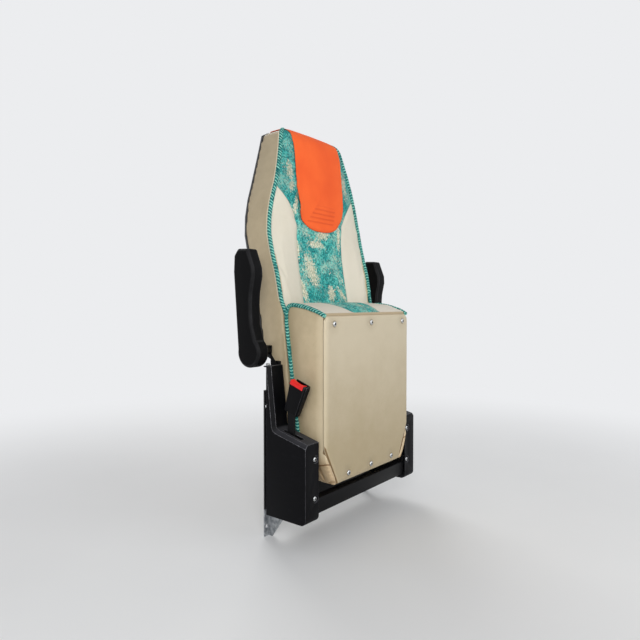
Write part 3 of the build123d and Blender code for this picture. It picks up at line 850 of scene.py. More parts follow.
tan_look = finish("tan_vinyl", tan_vinyl)
cushion_looks = [finish("seat_cover", seat_cover), tan_look]
cushion = covered(cushion, cushion_looks, "cushion", "cushion_pad", cushion_is_vinyl)


# Piping. A cord sewn into a fold of the teal fabric, along both edges of the
# seat face and nose.
def piping_fabric(place):
    run = place.add("Attribute", {"attribute_name": "twist_run"}, out="Fac")
    wobble = place.noise(60, 2) * 3
    twist = (run * 800 + wobble).sine().rise(0.0, 0.7) * place.noise(90, 2).rise(0.30, 0.54)
    dark = speckle(place).blend(paint(0, 78, 80), paint(4, 128, 122))
    return {
        "Base Color": twist.blend(dark, paint(142, 216, 198)),
        "Roughness": 0.88,
        "Normal": (weave_height(place) * 0.5 + twist * 0.5).relief(0.0005, 0.8),
    }


piping_look = finish("piping_fabric", piping_fabric)
SIDES = ((1, "left"), (-1, "right"))
PIPE_R = 0.0052
PIPE_STEP = 0.006
NOSE_PIPING_SINK = 0.004
TWIST_SLOPE = 0.7
# a share of the radius, and how far a point moves from its skin to its own line
PIPE_PROUD = 0.35
TOWARDS_LINE = 0.5


def skin_of(mesh):
    """A mesh as a surface that finds its nearest point to a place or on a ray."""
    shape = bmesh.new()
    shape.from_mesh(mesh)
    skin = BVHTree.FromBMesh(shape)
    shape.free()
    return skin


def even_points(points, gap):
    """Points along a line, gap apart."""
    found = [points[0]]
    for start, end in zip(points, points[1:]):
        count = max(1, round((end - start).length / gap))
        for k in range(1, count + 1):
            found.append(start.lerp(end, k / count))
    return found


def laid_on(skin, points, radius):
    """A line through points, brought to a pad's skin and smoothed."""
    laid = []
    for point in even_points(points, PIPE_STEP):
        spot, normal, _, _ = skin.find_nearest(point)
        laid.append(spot.lerp(point, TOWARDS_LINE) + normal * radius * PIPE_PROUD)
    for _ in range(3):
        inner = [
            (before + here * 2 + after) / 4
            for before, here, after in zip(laid, laid[1:], laid[2:])
        ]
        laid = [laid[0], *inner, laid[-1]]
    return laid


def cord_mesh(name, line, radius):
    """A round cord with closed ends along a line."""
    cord = bpy.data.curves.new(name, "CURVE")
    cord.dimensions = "3D"
    cord.bevel_depth = radius
    cord.bevel_resolution = 4
    cord.use_fill_caps = True
    spline = cord.splines.new("POLY")
    spline.points.add(len(line) - 1)
    for knot, spot in zip(spline.points, line):
        knot.co = (*spot, 1)
    holder = placed(name, cord)
    mesh = bpy.data.meshes.new_from_object(holder)
    bpy.data.objects.remove(holder)
    mesh.shade_smooth()
    return mesh


def mark_twist(mesh, laid, skin):
    """Stores how far along the cord each point is, sloped across it as a twist is."""
    near = KDTree(len(laid))
    runs = [0.0]
    for k, spot in enumerate(laid):
        near.insert(spot, k)
        if k:
            runs.append(runs[-1] + (spot - laid[k - 1]).length)
    near.balance()
    twist_run = mesh.attributes.new("twist_run", "FLOAT", "POINT")
    for vertex, value in zip(mesh.vertices, twist_run.data):
        spot, k, _ = near.find(vertex.co)
        along = (laid[min(k + 1, len(laid) - 1)] - laid[max(k - 1, 0)]).normalized()
        across = along.cross(skin.find_nearest(spot)[1])
        out = vertex.co - spot
        value.value = runs[k] + out.dot(along) + TWIST_SLOPE * out.dot(across)


def piping(name, points, skin, body, look, radius):
    """A cord of cloth or vinyl sewn along a pad's edge, as a piece."""
    line = laid_on(skin, points, radius)
    mesh = cord_mesh(name, line, radius)
    mark_twist(mesh, line, skin)
    show(name, mesh, [look], body)


cushion_skin = skin_of(cushion.data)
# the piping ends above the recess where the stop pin passes: y, z
CUSHION_PIPING_END = (-0.0889, 0.048)
for side, side_name in SIDES:
    edge_line = [
        Vector((side * CUSHION_HALF, y, z - (NOSE_PIPING_SINK if z > NOSE_Z else 0.0)))
        for y, z in (*CUSHION_SIDE[:-1], CUSHION_PIPING_END)
    ]
    name = "cushion_piping_" + side_name
    piping(name, edge_line, cushion_skin, "cushion", piping_look, PIPE_R)


# Backrest. A moulded pad with raised side wings in cream, a fabric centre that
# widens over the head, and tan boxing between the piping and the back shell.
BACK_ROWS = (
    # millimetres: height, half width, edge y, rear half width, rear y
    (60, 193, -66, 193, -3),
    (266, 193, -50, 193, -3),
    (288, 193, -48, 193, 27),
    (364, 195, -39, 193, 40),
    (410, 197, -37, 194, 48),
    (486, 200, -23, 196, 66),
    (534, 201, -9, 197, 79),
    (581, 200, 2, 196, 90),
    (629, 193, 7, 190, 95),
    (676, 180, 9, 178, 98),
    (724, 163, 10, 162, 99),
    (771, 149, 15, 149, 98),
    (819, 134, 23, 136, 97),
    (855, 124, 30, 128, 95),
    (865, 110, 40, 110, 92),
    (873, 86, 54, 86, 84),
)


def back_row(z):
    """Half width, edge y, rear half width and rear y at a height, in metres."""
    level = min(BACK_ROWS[-1][0], max(BACK_ROWS[0][0], z * 1000))
    for low, high in zip(BACK_ROWS, BACK_ROWS[1:]):
        if level <= high[0]:
            share = (level - low[0]) / (high[0] - low[0])
            return [(a + share * (b - a)) / 1000 for a, b in zip(low[1:], high[1:])]
    return [value / 1000 for value in BACK_ROWS[-1][1:]]


# the wing's seam runs straight up, and curves outwards over this stretch
WING_SEAM = 0.098
WING_CURVE_Z = 0.600
WING_CURVE_RUN = 0.103
WING_CURVE_OUT = 0.063
WING_CURVE_POWER = 1.87
WING_GROOVE = 0.0032


def wing_seam(z):
    """Where the fabric centre ends and the cream wing begins."""
    share = clamped((z - WING_CURVE_Z) / WING_CURVE_RUN)
    return WING_SEAM + WING_CURVE_OUT * share**WING_CURVE_POWER


def back_held(point):
    """1 where piping, shell or frame hold the cover, falling to 0 between them."""
    half, edge_y, rear_half, rear_y = back_row(point.z)
    front_seam = sqrt((half - abs(point.x)) ** 2 + (edge_y - point.y) ** 2)
    rear_seam = sqrt((rear_half - abs(point.x)) ** 2 + (rear_y - point.y) ** 2)
    firm = max(0.0, 1 - front_seam / 0.016, 1 - rear_seam / 0.010)
    rear = 1.0 if point.y > rear_y - 0.004 else 0.0
    foot = 1.0 if point.z < 0.30 and abs(point.x) > 0.185 else 0.0
    return max(firm**0.5, rear, foot)


BACK_VOXEL = 0.006
back = voxelled("backrest", "backrest_pad", BACK_VOXEL)
back = smoothed(back, back_held, 14)
back = blown_up(back, back_held, pressure=3.0, cap=0.006)
for vertex in back.data.vertices:
    place = vertex.co
    half, _, _, rear_y = back_row(place.z)
    if place.y < rear_y - 0.02 and abs(place.x) < half - 0.008 and 0.3 < place.z < 0.71:
        place.y += WING_GROOVE * seam_bell(abs(place.x) - wing_seam(place.z))
back = finer(back)


BACK_OVALS = (
    # x, z, half width, half height, lean: the cream patches of the cloth's centre
    (-0.047, 0.492, 0.026, 0.056, 0.42),
    (-0.094, 0.445, 0.012, 0.048, 0.30),
    (-0.098, 0.552, 0.008, 0.034, 0.10),
    (0.026, 0.430, 0.017, 0.026, -0.20),
    (0.078, 0.428, 0.008, 0.036, 0.75),
    (0.006, 0.592, 0.034, 0.017, 0.10),
    (-0.020, 0.566, 0.042, 0.012, 0.0),
    (0.082, 0.600, 0.010, 0.050, 0.05),
    (-0.118, 0.752, 0.012, 0.026, 0.10),
    (-0.116, 0.712, 0.010, 0.020, -0.10),
    (-0.104, 0.662, 0.008, 0.036, -0.20),
    (0.120, 0.748, 0.016, 0.046, 0.10),
)


def back_cover(place):
    """The fabric centre, darker over the head as painted shade, between the cream wings."""
    z = place.axis(2)
    share = ((z - WING_CURVE_Z) / WING_CURVE_RUN).most(0.0).least(1.0)
    seam_at = share**WING_CURVE_POWER * WING_CURVE_OUT + WING_SEAM
    away = place.axis(0).size() - seam_at
    fabric = strip_colour(place, -0.04, BACK_OVALS)
    return sewn_cover(
        place,
        panel=away.rise(-0.0012, 0.0012) * z.rise(0.7045, 0.7020),
        seam=(1 - away.size().rise(0.0005, 0.0024)) * z.rise(0.712, 0.706),
        # painted shade: the fabric darker higher up, over the head
        fabric=(z.rise(0.60, 0.72) * 0.28).blend(fabric, paint(0, 92, 92)),
        cream=(paint(215, 207, 187), paint(231, 224, 207)),
        thread=paint(112, 112, 96),
    )


def back_is_boxing(centre, normal):
    half, edge_y, _, rear_y = back_row(centre.z)
    outside = abs(centre.x) > half - 0.012 and centre.y > edge_y + 0.001
    low_edge = abs(centre.x) > half - 0.014 and centre.z < 0.385
    return outside or low_edge or centre.y > rear_y - 0.006 or centre.z < 0.064


back_looks = [finish("back_cover", back_cover), tan_look]
back = covered(back, back_looks, "frame", "backrest_pad", back_is_boxing)


# Backrest piping and bead. The same teal piping along the front edges, and
# behind it a thin bead of vinyl, where the boxing's edge is turned and sewn.
def welt_vinyl(place):
    """The turned edge of the boxing beside the piping, painted paler than its face: a painted
    highlight on the rounded edge.
    """
    tone = vinyl_soil(place)
    return {
        # painted highlight: paler than the boxing's face
        "Base Color": tone.blend(paint(212, 196, 166), paint(228, 214, 188)),
        "Roughness": 0.42 + tone * 0.1,
        "Normal": vinyl_grain(place).relief(VINYL_GRAIN, 0.7),
    }


back_skin = skin_of(back.data)
BEAD_R = 0.0022
BEAD_BACK = 0.0075
BEAD_OUT = 0.0005
ROWS_OVER_CUSHION = BACK_ROWS[4:-1]
PIPING_TOP = Vector((0.1040, 0.0425, 0.8640))
PIPING_FOOT = (
    # x, y, z of the piping's lower run, set in behind the cushion's sides
    (0.1780, -0.066, 0.075),
    (0.1780, -0.056, 0.200),
    (0.1790, -0.051, 0.320),
    (0.1830, -0.049, 0.362),
    (0.1910, -0.045, 0.388),
)
bead_look = finish("welt_vinyl", welt_vinyl)
for side, side_name in SIDES:
    edge_line = [Vector((side * x, y, z)) for x, y, z in PIPING_FOOT]
    bead_line = []
    for z, half, edge_y, _, _ in ROWS_OVER_CUSHION:
        edge_line.append(Vector((side * half, edge_y, z)) / 1000)
        bead_line.append(edge_line[-1] + Vector((side * BEAD_OUT, BEAD_BACK, 0)))
    edge_line.append(PIPING_TOP * Vector((side, 1, 1)))
    name = "backrest_piping_" + side_name
    piping(name, edge_line, back_skin, "frame", piping_look, PIPE_R)
    name = "backrest_bead_" + side_name
    piping(name, bead_line[:-1], back_skin, "frame", bead_look, BEAD_R)


# Head cover. A washable cloth over the head, with an arched hem in front and
# pressed ribs above it, folded over the top and hanging down behind.
HEAD_COVER_HALF = 0.100
HEM_LOW = 0.6005
HEM_RISE = 0.090
HEM_POWER = 2.6
COVER_TOP = 0.8765
TOP_FLAT = 0.855
CLOTH = 0.0012
# how far the cloth's inside lies off the pad, the shell and the head's top
OFF_PAD = 0.0016
OFF_SHELL = 0.0010
OFF_TOP = 0.0014
# points across, up the front flap, over the top and down the rear flap
ACROSS = 60
UP = 70
OVER = 24
DOWN = 60
# the flap's right edge stands off the pad, and a fold runs in below its middle
LIFT = 0.007
LIFT_FROM = 0.055
LIFT_Z = 0.655
LIFT_HALF = 0.055
FOLD = 0.0045
FOLD_FROM = 0.070
FOLD_Z = 0.662
FOLD_HALF = 0.014
RIB_LOW = 0.624
RIB_GAP = 0.0115
RIB_COUNT = 4


def hem_height(x):
    """The hem's height across the flap: a squarish curve, lowest in the middle."""
    share = min(1.0, abs(x) / HEAD_COVER_HALF)
    return HEM_LOW + HEM_RISE * (1 - (1 - share**HEM_POWER) ** (1 / HEM_POWER))


shell_skin = skin_of(nodes["back_shell"].data)


def met(skin, start, run):
    """The first point of a skin that a ray from start meets, or None."""
    return skin.ray_cast(Vector(start), Vector(run))[0]


def front_cloth(x, z):
    return met(back_skin, (x, -1, z), (0, 1, 0)).y - OFF_PAD


def rear_cloth(x, z):
    return met(shell_skin, (x, 1, z), (0, -1, 0)).y + OFF_SHELL


def top_cloth(x, y):
    """The height of the head's top, or of the shell's edge where that is higher."""
    height = TOP_FLAT
    for skin in (back_skin, shell_skin):
        spot = met(skin, (x, y, 1), (0, 0, -1))
        if spot is not None:
            height = max(height, spot.z + OFF_TOP)
    return height


def hump(z, middle, half):
    """1 at the middle height, falling to 0 half above and below it."""
    return max(0.0, 1 - ((z - middle) / half) ** 2)


def cloth_column(x):
    """The cloth at one x, from the front hem over the top to the rear hem: how
    far a fold shifts it in x, then y and z."""
    column = []
    low = hem_height(x)
    # the rays start a little inside the cloth's side edges
    inside = min(abs(x), HEAD_COVER_HALF - 0.004) * (1 if x > 0 else -1)
    lifted = max(0.0, (-x - LIFT_FROM) / (HEAD_COVER_HALF - LIFT_FROM)) ** 2
    folded = max(0.0, (-x - FOLD_FROM) / (HEAD_COVER_HALF - FOLD_FROM))
    for k in range(UP + 1):
        z = low + (TOP_FLAT - low) * k / UP
        lift = LIFT * lifted * hump(z, LIFT_Z, LIFT_HALF)
        dent = FOLD * hump(z, FOLD_Z, FOLD_HALF) * folded
        column.append((dent, front_cloth(inside, z) - lift, z))
    start_y = column[-1][1]
    end_y = rear_cloth(inside, TOP_FLAT)
    middle = (start_y + end_y) / 2
    reach = (end_y - start_y) / 2
    for k in range(1, OVER):
        angle = pi * k / OVER
        y = middle - reach * cos(angle)
        column.append((0.0, y, min(COVER_TOP, top_cloth(inside, y))))
    for k in range(DOWN + 1):
        z = TOP_FLAT - (TOP_FLAT - low) * k / DOWN
        column.append((0.0, rear_cloth(inside, z), z))
    return column


cloth_shape = bmesh.new()
columns = []
for i in range(ACROSS + 1):
    x = HEAD_COVER_HALF * sin(pi / 2 * (2 * i / ACROSS - 1))
    spots = [(x + dent, y, z) for dent, y, z in cloth_column(x)]
    columns.append([cloth_shape.verts.new(spot) for spot in spots])
for left, right in zip(columns, columns[1:]):
    for k in range(len(left) - 1):
        cloth_shape.faces.new((left[k], right[k], right[k + 1], left[k + 1]))
for _ in range(2):
    bmesh.ops.smooth_vert(
        cloth_shape,
        verts=[vert for vert in cloth_shape.verts if not vert.is_boundary],
        factor=0.5,
        use_axis_x=True,
        use_axis_y=True,
        use_axis_z=True,
    )
cloth_area = sum(face.calc_area() for face in cloth_shape.faces)
cloth_source = placed("cloth_source", meshed(cloth_shape, "head_cover_cloth"))
thick = cloth_source.modifiers.new("thick", "SOLIDIFY")
thick.thickness = CLOTH
thick.offset = 1
cloth_mesh = applied(cloth_source).data
bpy.data.objects.remove(cloth_source)
cloth_mesh.shade_smooth()


def orange_cloth(place):
    """Smooth cloth with pressed ribs that end at a slanting crease, painted shade in the
    ribs, and a darker hem.
    """
    x = place.axis(0)
    z = place.axis(2)
    fibres = place.stretched(500, 500, 1400).noise(1.0, 3, 0.7)
    press = ((z - RIB_LOW) * (2 * pi / RIB_GAP)).sine() * 0.5 + 0.5
    rib_top = RIB_LOW + RIB_GAP * RIB_COUNT
    band = z.rise(RIB_LOW - 0.003, RIB_LOW) * z.rise(rib_top + 0.003, rib_top)
    slant = x - z * 0.75 + 0.53
    in_front = place.axis(1).rise(0.050, 0.045)
    ribs = press**3 * band * slant.rise(-0.002, 0.006) * x.rise(0.062, 0.054) * in_front
    crease = 1 - slant.size().rise(0.001, 0.012)
    crease = crease * z.rise(0.625, 0.66) * z.rise(0.71, 0.67) * in_front
    folds = place.stretched(16, 16, 5).noise(1.0, 2, 0.5)
    tone = place.noise(9, 3).rise(0.25, 0.75)
    colour = tone.blend(paint(240, 90, 28), paint(252, 105, 38))
    arch = 1 - ((x.size() / HEAD_COVER_HALF) ** HEM_POWER).least(1.0)
    over_hem = z - HEM_LOW - HEM_RISE + arch ** (1 / HEM_POWER) * HEM_RISE
    hem = over_hem.rise(0.007, 0.004)
    base = (folds * 0.7 + ribs * 0.3 + crease * 0.3).relief(0.0035, 0.8)
    return {
        # painted shade in the pressed ribs; the band along the hem darker too
        "Base Color": (ribs * 0.45 + hem * 0.35).least(1.0).blend(colour, paint(212, 66, 18)),
        "Roughness": 0.82,
        "Normal": fibres.relief(0.00012, 0.8, base),
    }


cloth_look = finish("orange_cloth", orange_cloth)
head_cover = show(
    "head_cover_cloth", cloth_mesh, [cloth_look], "frame", ["head_cover"]
)


# Back shell. A thin panel moulded in dark grey plastic with a fine grain. It
# closes the back, and is riveted to the back's frame along its border.
def soften(shape, edges, width, steps=2):
    """Rounds these edges; the new faces take the second material."""
    made = bmesh.ops.bevel(
        shape,
        geom=edges,
        offset=width,
        segments=steps,
        profile=0.5,
        affect="EDGES",
        clamp_overlap=True,
    )
    for face in made["faces"]:
        face.material_index = 1
    for face in shape.faces:
        face.smooth = True


SAME_POINT = 0.00001
FLAT_ANGLE = radians(1)
SHARP_ANGLE = radians(25)
SOLID_CREASE = 40


def rounded(node, width, steps=2):
    """A rigid CAD solid's mesh with its sharp edges rounded."""
    shape = bmesh.new()
    shape.from_mesh(nodes[node].data)
    bmesh.ops.remove_doubles(shape, verts=shape.verts, dist=SAME_POINT)
    bmesh.ops.dissolve_limit(
        shape, angle_limit=FLAT_ANGLE, verts=shape.verts, edges=shape.edges
    )
    sharp = [
        edge
        for edge in shape.edges
        if len(edge.link_faces) == 2 and edge.calc_face_angle(0) > SHARP_ANGLE
    ]
    soften(shape, sharp, width, steps)
    return meshed(shape, node + "_rounded", SOLID_CREASE)


def dressed(node, ending, width, look, body="frame", steps=2, edge_look=None):
    """A rigid CAD solid as a piece, its edges rounded and in a look of their own
    where they have one."""
    mesh = rounded(node, width, steps)
    return show(f"{node}_{ending}", mesh, [look, edge_look or look], body, [node])


def shell_plastic(place):
    grain = place.noise(1100, 2, 0.6)
    tone = place.noise(14, 2)
    return {
        "Base Color": tone.blend(paint(58, 58, 60), paint(70, 70, 72)),
        "Roughness": 0.5 + grain * 0.15,
        "Normal": grain.relief(0.00012, 0.7),
    }


shell_look = finish("shell_plastic", shell_plastic)
dressed("back_shell", "panel", 0.0015, shell_look)


# Shell rivets. Black push rivets with a shallow dome, pressed through the
# shell's border into the back's frame.
RIVET_ROWS = (
    # height, how far out from the middle
    (0.318, 0.060),
    (0.335, 0.168),
    (0.470, 0.172),
    (0.620, 0.170),
    (0.740, 0.136),
)
rivet_places = [
    met(shell_skin, (x, 1, z), (0, -1, 0)) for z, reach in RIVET_ROWS for x in (-reach, reach)
]
rivet_head = turned_head("shell_rivet", 0.0075, 0.0016, 0.0040, 0.0006, arms=6)
rivet_heads = heads_mesh(rivet_head, rivet_places, TO_REAR)
show("shell_rivets", rivet_heads, [shell_look], "frame")


# Steel frame. Side frames, legs, posts, beam and panel are plate and tube,
# welded and powder coated black; the hinge arms are fixed to the board.
def black_coat(place):
    peel = place.noise(420, 2, 0.5)
    dust = place.noise(11, 4, 0.6).rise(0.45, 0.8)
    return {
        "Base Color": dust.blend(paint(7, 7, 9), paint(18, 18, 20)),
        "Roughness": 0.44 + dust * 0.2,
        "Specular IOR Level": 0.14,
        "Normal": peel.relief(0.00010, 0.6),
    }


coat = finish("black_coat", black_coat)
STEEL_EDGES = (
    # node, body, rounding
    ("side_frame_left", "frame", 0.0006),
    ("side_frame_right", "frame", 0.0006),
    ("front_beam", "frame", 0.0020),
    ("cross_panel", "frame", 0.0008),
    ("arm_post_left", "frame", 0.0015),
    ("arm_post_right", "frame", 0.0015),
    ("backrest_leg_left", "frame", 0.0010),
    ("backrest_leg_right", "frame", 0.0010),
    ("armrest_shaft_left", "frame", 0.0010),
    ("armrest_shaft_right", "frame", 0.0010),
    ("buckle_stalk", "frame", 0.0008),
    ("hinge_arm_left", "cushion", 0.0008),
    ("hinge_arm_right", "cushion", 0.0008),
)
for node, body, width in STEEL_EDGES:
    dressed(node, "steel", width, coat, body)


# Wall brackets. Galvanised angle plate, with the zinc's crystals showing at the
# foot and black coat above it.
PAINT_LINE = -0.106
PLATE_EDGE = 0.0006


def galvanised(place):
    crystals = place.cells(160)
    tone = place.noise(120, 2).rise(0.3, 0.7)
    bare = place.axis(2).rise(PAINT_LINE, PAINT_LINE - 0.002)
    zinc = tone.blend(paint(132, 136, 140), paint(184, 187, 190))
    return {
        "Base Color": bare.blend(paint(14, 14, 16), zinc),
        "Metallic": bare * 0.85,
        "Roughness": 0.42 + crystals * 0.2,
        "Normal": tone.relief(0.00004, 0.5),
    }


zinc = finish("galvanised", galvanised)
for node in ("wall_bracket_left", "wall_bracket_right"):
    dressed(node, "plate", PLATE_EDGE, zinc)


# Hinge pins and stop pins. Turned from round steel bar, zinc plated and fixed
# in the side frames; each hinge pin carries the drum of its return spring.
PIN_EDGE = 0.0006
plated = finish("plated_steel", plated_steel)
for node in ("hinge_pin_left", "hinge_pin_right", "stop_pin_left", "stop_pin_right"):
    dressed(node, "turned", PIN_EDGE, plated)


# Side covers. Hollow mouldings in black plastic with a fine spark grain, worn a
# little shiny along their edges, with a painted highlight there, and bolted to the side
# frames.
def cover_plastic(place):
    grain = place.noise(1300, 2, 0.6)
    scuffs = place.stretched(30, 30, 120).noise(1.0, 4, 0.65).rise(0.52, 0.78)
    # painted light: upward faces painted paler, in patches like dust
    facing_up_light = place.add("TexCoord", out="Normal").axis(2).rise(0.30, 0.90)
    dust = facing_up_light * (place.noise(22, 3, 0.6) * 0.5 + 0.5)
    black = scuffs.blend(paint(5, 5, 8), paint(14, 14, 18))
    return {
        "Base Color": dust.blend(black, paint(66, 66, 70)),
        "Roughness": 0.42 + grain * 0.14 + scuffs * 0.1,
        "Specular IOR Level": 0.10,
        "Normal": grain.relief(0.00010, 0.7),
    }


def sheen_and_wear_plastic(place):
    """The same moulding along its edges: shiny, and painted pale in patches as a painted
    highlight, paler higher up.
    """
    # painted highlight: pale in patches, and paler higher up
    rub_and_sheen = place.noise(60, 3, 0.6).rise(0.3, 0.7)
    higher_sheen = place.axis(2).rise(-0.02, 0.07)
    return {
        "Base Color": rub_and_sheen.blend(
            higher_sheen.blend(paint(40, 40, 44), paint(70, 70, 75)),
            higher_sheen.blend(paint(96, 96, 102), paint(158, 158, 164)),
        ),
        "Roughness": 0.34 + rub_and_sheen * 0.1,
        "Normal": place.noise(1300, 2, 0.6).relief(0.00006, 0.6),
    }


cover_look = finish("cover_plastic", cover_plastic)
sheen_and_wear_look = finish("sheen_and_wear_plastic", sheen_and_wear_plastic)
COVER_EDGE = 0.0024
for node in ("side_cover_left", "side_cover_right"):
    dressed(
        node, "moulding", COVER_EDGE, cover_look, steps=3, edge_look=sheen_and_wear_look
    )


# Cover bolts. Four domed heads with a hexagon recess, zinc plated, sunk in the
# round seats of the side covers.
COVER_BOLT_X = 0.2125
COVER_BOLT_HEIGHTS = (0.042, -0.050)
COVER_SINK_Y = -0.154
BOLT_SOCKET = 0.0024
bolt_places = [
    Vector((x, COVER_SINK_Y, z))
    for x in (-COVER_BOLT_X, COVER_BOLT_X)
    for z in COVER_BOLT_HEIGHTS
]
bolt_head = turned_head("cover_bolt", 0.0058, 0.0029, BOLT_SOCKET, 0.0016, arms=6)
bolt_heads = heads_mesh(bolt_head, bolt_places, TO_FRONT)
bolt_look = finish("cover_head_metal", head_metal(bolt_places, BOLT_SOCKET, 0.0022))
show("cover_bolt_heads", bolt_heads, [bolt_look], "frame", ["cover_bolts"])


# Post bolts. Plain hexagon heads, zinc plated, screwed into the caps of the
# armrests' posts.
post_mesh = rounded("post_bolts", 0.0005)
show("post_bolt_heads", post_mesh, [plated, plated], "frame", ["post_bolts"])


# Armrests. Black foam moulded round a steel core, with a finely pored skin of
# its own, a little shinier along the edges and painted paler there as a painted highlight.
def armrest_skin(place):
    pores = place.cells(1200, "DISTANCE_TO_EDGE").rise(0.0, 0.3)
    swell = place.noise(24, 2)
    return {
        "Base Color": swell.blend(paint(4, 4, 5), paint(11, 11, 13)),
        "Roughness": 0.5 + swell * 0.14,
        "Specular IOR Level": 0.08,
        "Normal": (pores * 0.6 + swell * 0.4).relief(0.00016, 0.7),
    }


def armrest_edges(place):
    """The same skin on the rounded edges, a little shinier and painted paler in patches: a
    painted highlight.
    """
    rub_and_sheen = place.noise(30, 3, 0.6).rise(0.3, 0.7)
    return {
        # painted highlight along the rounded edges
        "Base Color": rub_and_sheen.blend(paint(9, 9, 11), paint(30, 30, 32)),
        "Roughness": 0.46,
        "Specular IOR Level": 0.14,
        "Normal": place.cells(1200, "DISTANCE_TO_EDGE").relief(0.00008, 0.6),
    }


armrest_look = finish("armrest_skin", armrest_skin)
armrest_edge_look = finish("armrest_edges", armrest_edges)
ARMREST_EDGE = 0.0025
for _, side_name in SIDES:
    dressed(
        "armrest_" + side_name,
        "foam",
        ARMREST_EDGE,
        armrest_look,
        body="arm_" + side_name,
        steps=3,
        edge_look=armrest_edge_look,
    )


# Belt buckle. A black moulded body with a red press button, which is hollowed
# for the thumb and has a raised rim behind it. It is fixed on the stiff steel
# stalk that stands in the slot of the right side cover.
def buckle_plastic(place):
    grain = place.noise(1500, 1)
    return {
        "Base Color": place.noise(40, 2).blend(paint(3, 3, 5), paint(9, 9, 11)),
        "Roughness": 0.33 + grain * 0.1,
        "Specular IOR Level": 0.10,
        "Normal": grain.relief(0.00005, 0.6),
    }


def button_plastic(place):
    grain = place.noise(900, 1)
    return {
        "Base Color": place.noise(60, 2).blend(paint(226, 8, 10), paint(246, 16, 16)),
        "Roughness": 0.3 + grain * 0.1,
        "Normal": grain.relief(0.00004, 0.5),
    }


def buckle_edges(place):
    """The same plastic along its edges, painted paler in patches: a painted highlight."""
    rub_and_sheen = place.noise(90, 3, 0.6).rise(0.3, 0.7)
    return {
        # painted highlight along the edges
        "Base Color": rub_and_sheen.blend(paint(18, 18, 20), paint(74, 74, 78)),
        "Roughness": 0.34,
        "Normal": place.noise(1500, 1).relief(0.00005, 0.6),
    }


buckle_look = finish("buckle_plastic", buckle_plastic)
buckle_mesh = rounded("buckle_body", 0.0010)
buckle_looks = [buckle_look, finish("buckle_edges", buckle_edges)]
show("buckle_housing", buckle_mesh, buckle_looks, "frame", ["buckle_body"])
button_low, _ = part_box("buckle_button")
# the button in the buckle's own frame, which stands at its foot and leans back
BUTTON_IN = 0.0095
BUTTON_HALF = 0.022
BUTTON_TOP = 0.078
BUTTON_DIP = 0.0035
BUTTON_OUT = 0.0019
BUTTON_SHORTER = 0.09
BUTTON_CUTS = 12
BUCKLE_LEAN = radians(20)
buckle_foot = Vector((button_low.x + BUTTON_IN, -0.095, 0.146))
BUCKLE_TURN = Matrix.Translation(buckle_foot) @ Matrix.Rotation(BUCKLE_LEAN, 4, "X")
RIM_LOW = 0.0700
RIM_HIGH = 0.0772
RIM_EDGE = 0.0006
BUCKLE_RIM = (
    # the wall behind the button and past its lower end, seen from above: x, y
    (0.0110, 0.0205),
    (0.0110, -0.0220),
    (0.0070, -0.0260),
    (-0.0070, -0.0260),
    (-0.0110, -0.0220),
    (-0.0110, -0.0185),
    (0.0086, -0.0185),
    (0.0086, 0.0205),
)


def press_button_mesh():
    """The button, hollowed along its top, and out over the face of the body."""
    shape = bmesh.new()
    shape.from_mesh(rounded("buckle_button", 0.0008))
    shape.transform(BUCKLE_TURN.inverted())
    for k in range(1, BUTTON_CUTS):
        bmesh.ops.bisect_plane(
            shape,
            geom=[*shape.verts, *shape.edges, *shape.faces],
            plane_co=Vector((0, BUTTON_HALF * (2 * k / BUTTON_CUTS - 1), 0)),
            plane_no=Vector((0, 1, 0)),
        )
    for vert in shape.verts:
        spot = vert.co
        share = spot.y / BUTTON_HALF
        if spot.z > BUTTON_TOP - 0.002:
            spot.z -= BUTTON_DIP * (1 - share * share)
        if spot.x < 0.002 - BUTTON_IN:
            spot.x -= BUTTON_OUT
        spot.y += (BUTTON_HALF - spot.y) * BUTTON_SHORTER
    shape.transform(BUCKLE_TURN)
    return meshed(shape, "press_button", SOLID_CREASE)


def buckle_rim_mesh():
    """The body's raised wall behind the button."""
    shape = bmesh.new()
    foot = shape.faces.new([shape.verts.new((x, y, RIM_LOW)) for x, y in BUCKLE_RIM])
    lifted = bmesh.ops.extrude_face_region(shape, geom=[foot], use_keep_orig=True)["geom"]
    for part in lifted:
        if isinstance(part, bmesh.types.BMVert):
            part.co.z = RIM_HIGH
    bmesh.ops.recalc_face_normals(shape, faces=shape.faces)
    edges = [edge for edge in shape.edges if max(vert.co.z for vert in edge.verts) > RIM_LOW]
    soften(shape, edges, RIM_EDGE)
    shape.transform(BUCKLE_TURN)
    return meshed(shape, "buckle_rim", SOLID_CREASE)


button_looks = [finish("button_plastic", button_plastic)] * 2
button_mesh = press_button_mesh()
show("press_button", button_mesh, button_looks, "frame", ["buckle_button"])
show("buckle_rim", buckle_rim_mesh(), buckle_looks, "frame")


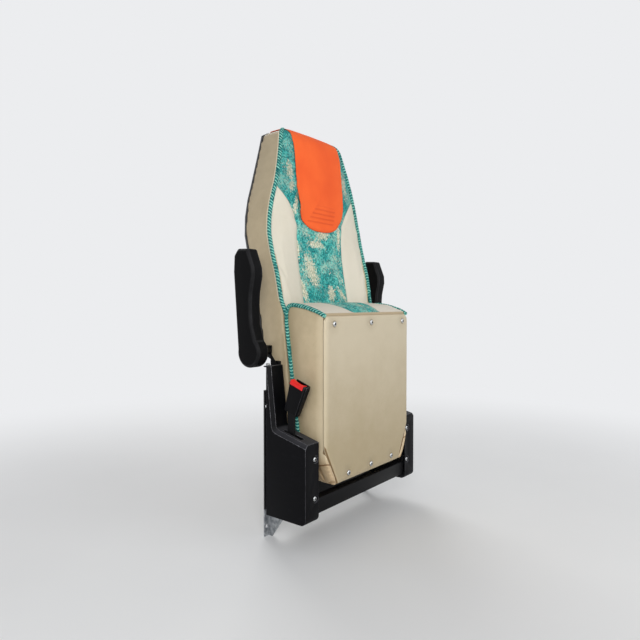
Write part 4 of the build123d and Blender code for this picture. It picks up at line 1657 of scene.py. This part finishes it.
# Studio. A plain pale floor under the wall brackets, a pale world and three
# soft lamps.
FLOOR_HALF = 12
PALE = paint(236, 237, 239)
floor_shape = bmesh.new()
bmesh.ops.create_grid(floor_shape, x_segments=1, y_segments=1, size=FLOOR_HALF)
floor_mesh = meshed(floor_shape, "floor")
floor = placed("floor", floor_mesh)
floor.location.z = cad_low.z


def backdrop_rays(start):
    """1 for rays that see the backdrop as it is: the camera's, mirrored and bent ones."""
    seen = start.add("LightPath", out="Is Camera Ray")
    mirrored = start.add("LightPath", out="Is Glossy Ray")
    bent = start.add("LightPath", out="Is Transmission Ray")
    return seen.most(mirrored).most(bent)


floor_look = bpy.data.materials.new("pale_floor")
floor_look.use_nodes = True
floor_look.node_tree.nodes.clear()
floor_wire = Wire(floor_look.node_tree)
floor_place = floor_wire.place()
floor_tone = floor_place.noise(3, 2).blend(paint(232, 232, 231), paint(237, 237, 236))
matt = floor_wire.add("BsdfPrincipled", None, {"Base Color": floor_tone, "Roughness": 0.9})
glow = floor_wire.add("Emission", None, {"Color": PALE, "Strength": 1.0})
far_off = floor_place.far((0, 0, 0)).rise(0.7, 2.2) * backdrop_rays(floor_wire)
floor_skin = floor_wire.add("MixShader", None, {0: far_off, 1: matt, 2: glow})
floor_wire.add("OutputMaterial", None, {"Surface": floor_skin})
floor_mesh.materials.append(floor_look)

LAMPS = (
    # name, place, width, watts
    ("key", (-2.6, -2.1, 1.4), 1.6, 56),
    ("front", (0.6, -3.0, 1.2), 1.8, 24),
    ("rear", (1.6, 2.2, 2.2), 1.8, 40),
)
LAMP_AIM = Vector((0, 0, 0.3))
for name, place, width, watts in LAMPS:
    lamp = placed(name, bpy.data.lights.new(name, "AREA"))
    lamp.data.size = width
    lamp.data.energy = watts
    lamp.location = place
    lamp.rotation_euler = (LAMP_AIM - lamp.location).to_track_quat("-Z", "Y").to_euler()
world = bpy.data.worlds.new("studio")
world.use_nodes = True
world.node_tree.nodes.clear()
sky = Wire(world.node_tree)
pale = sky.add("Background", None, {"Color": PALE, "Strength": 1.0})
fill = sky.add("Background", None, {"Color": paint(214, 216, 220), "Strength": 0.55})
both = sky.add("MixShader", None, {0: backdrop_rays(sky), 1: fill, 2: pale})
sky.add("OutputWorld", None, {"Surface": both})
bpy.context.scene.world = world
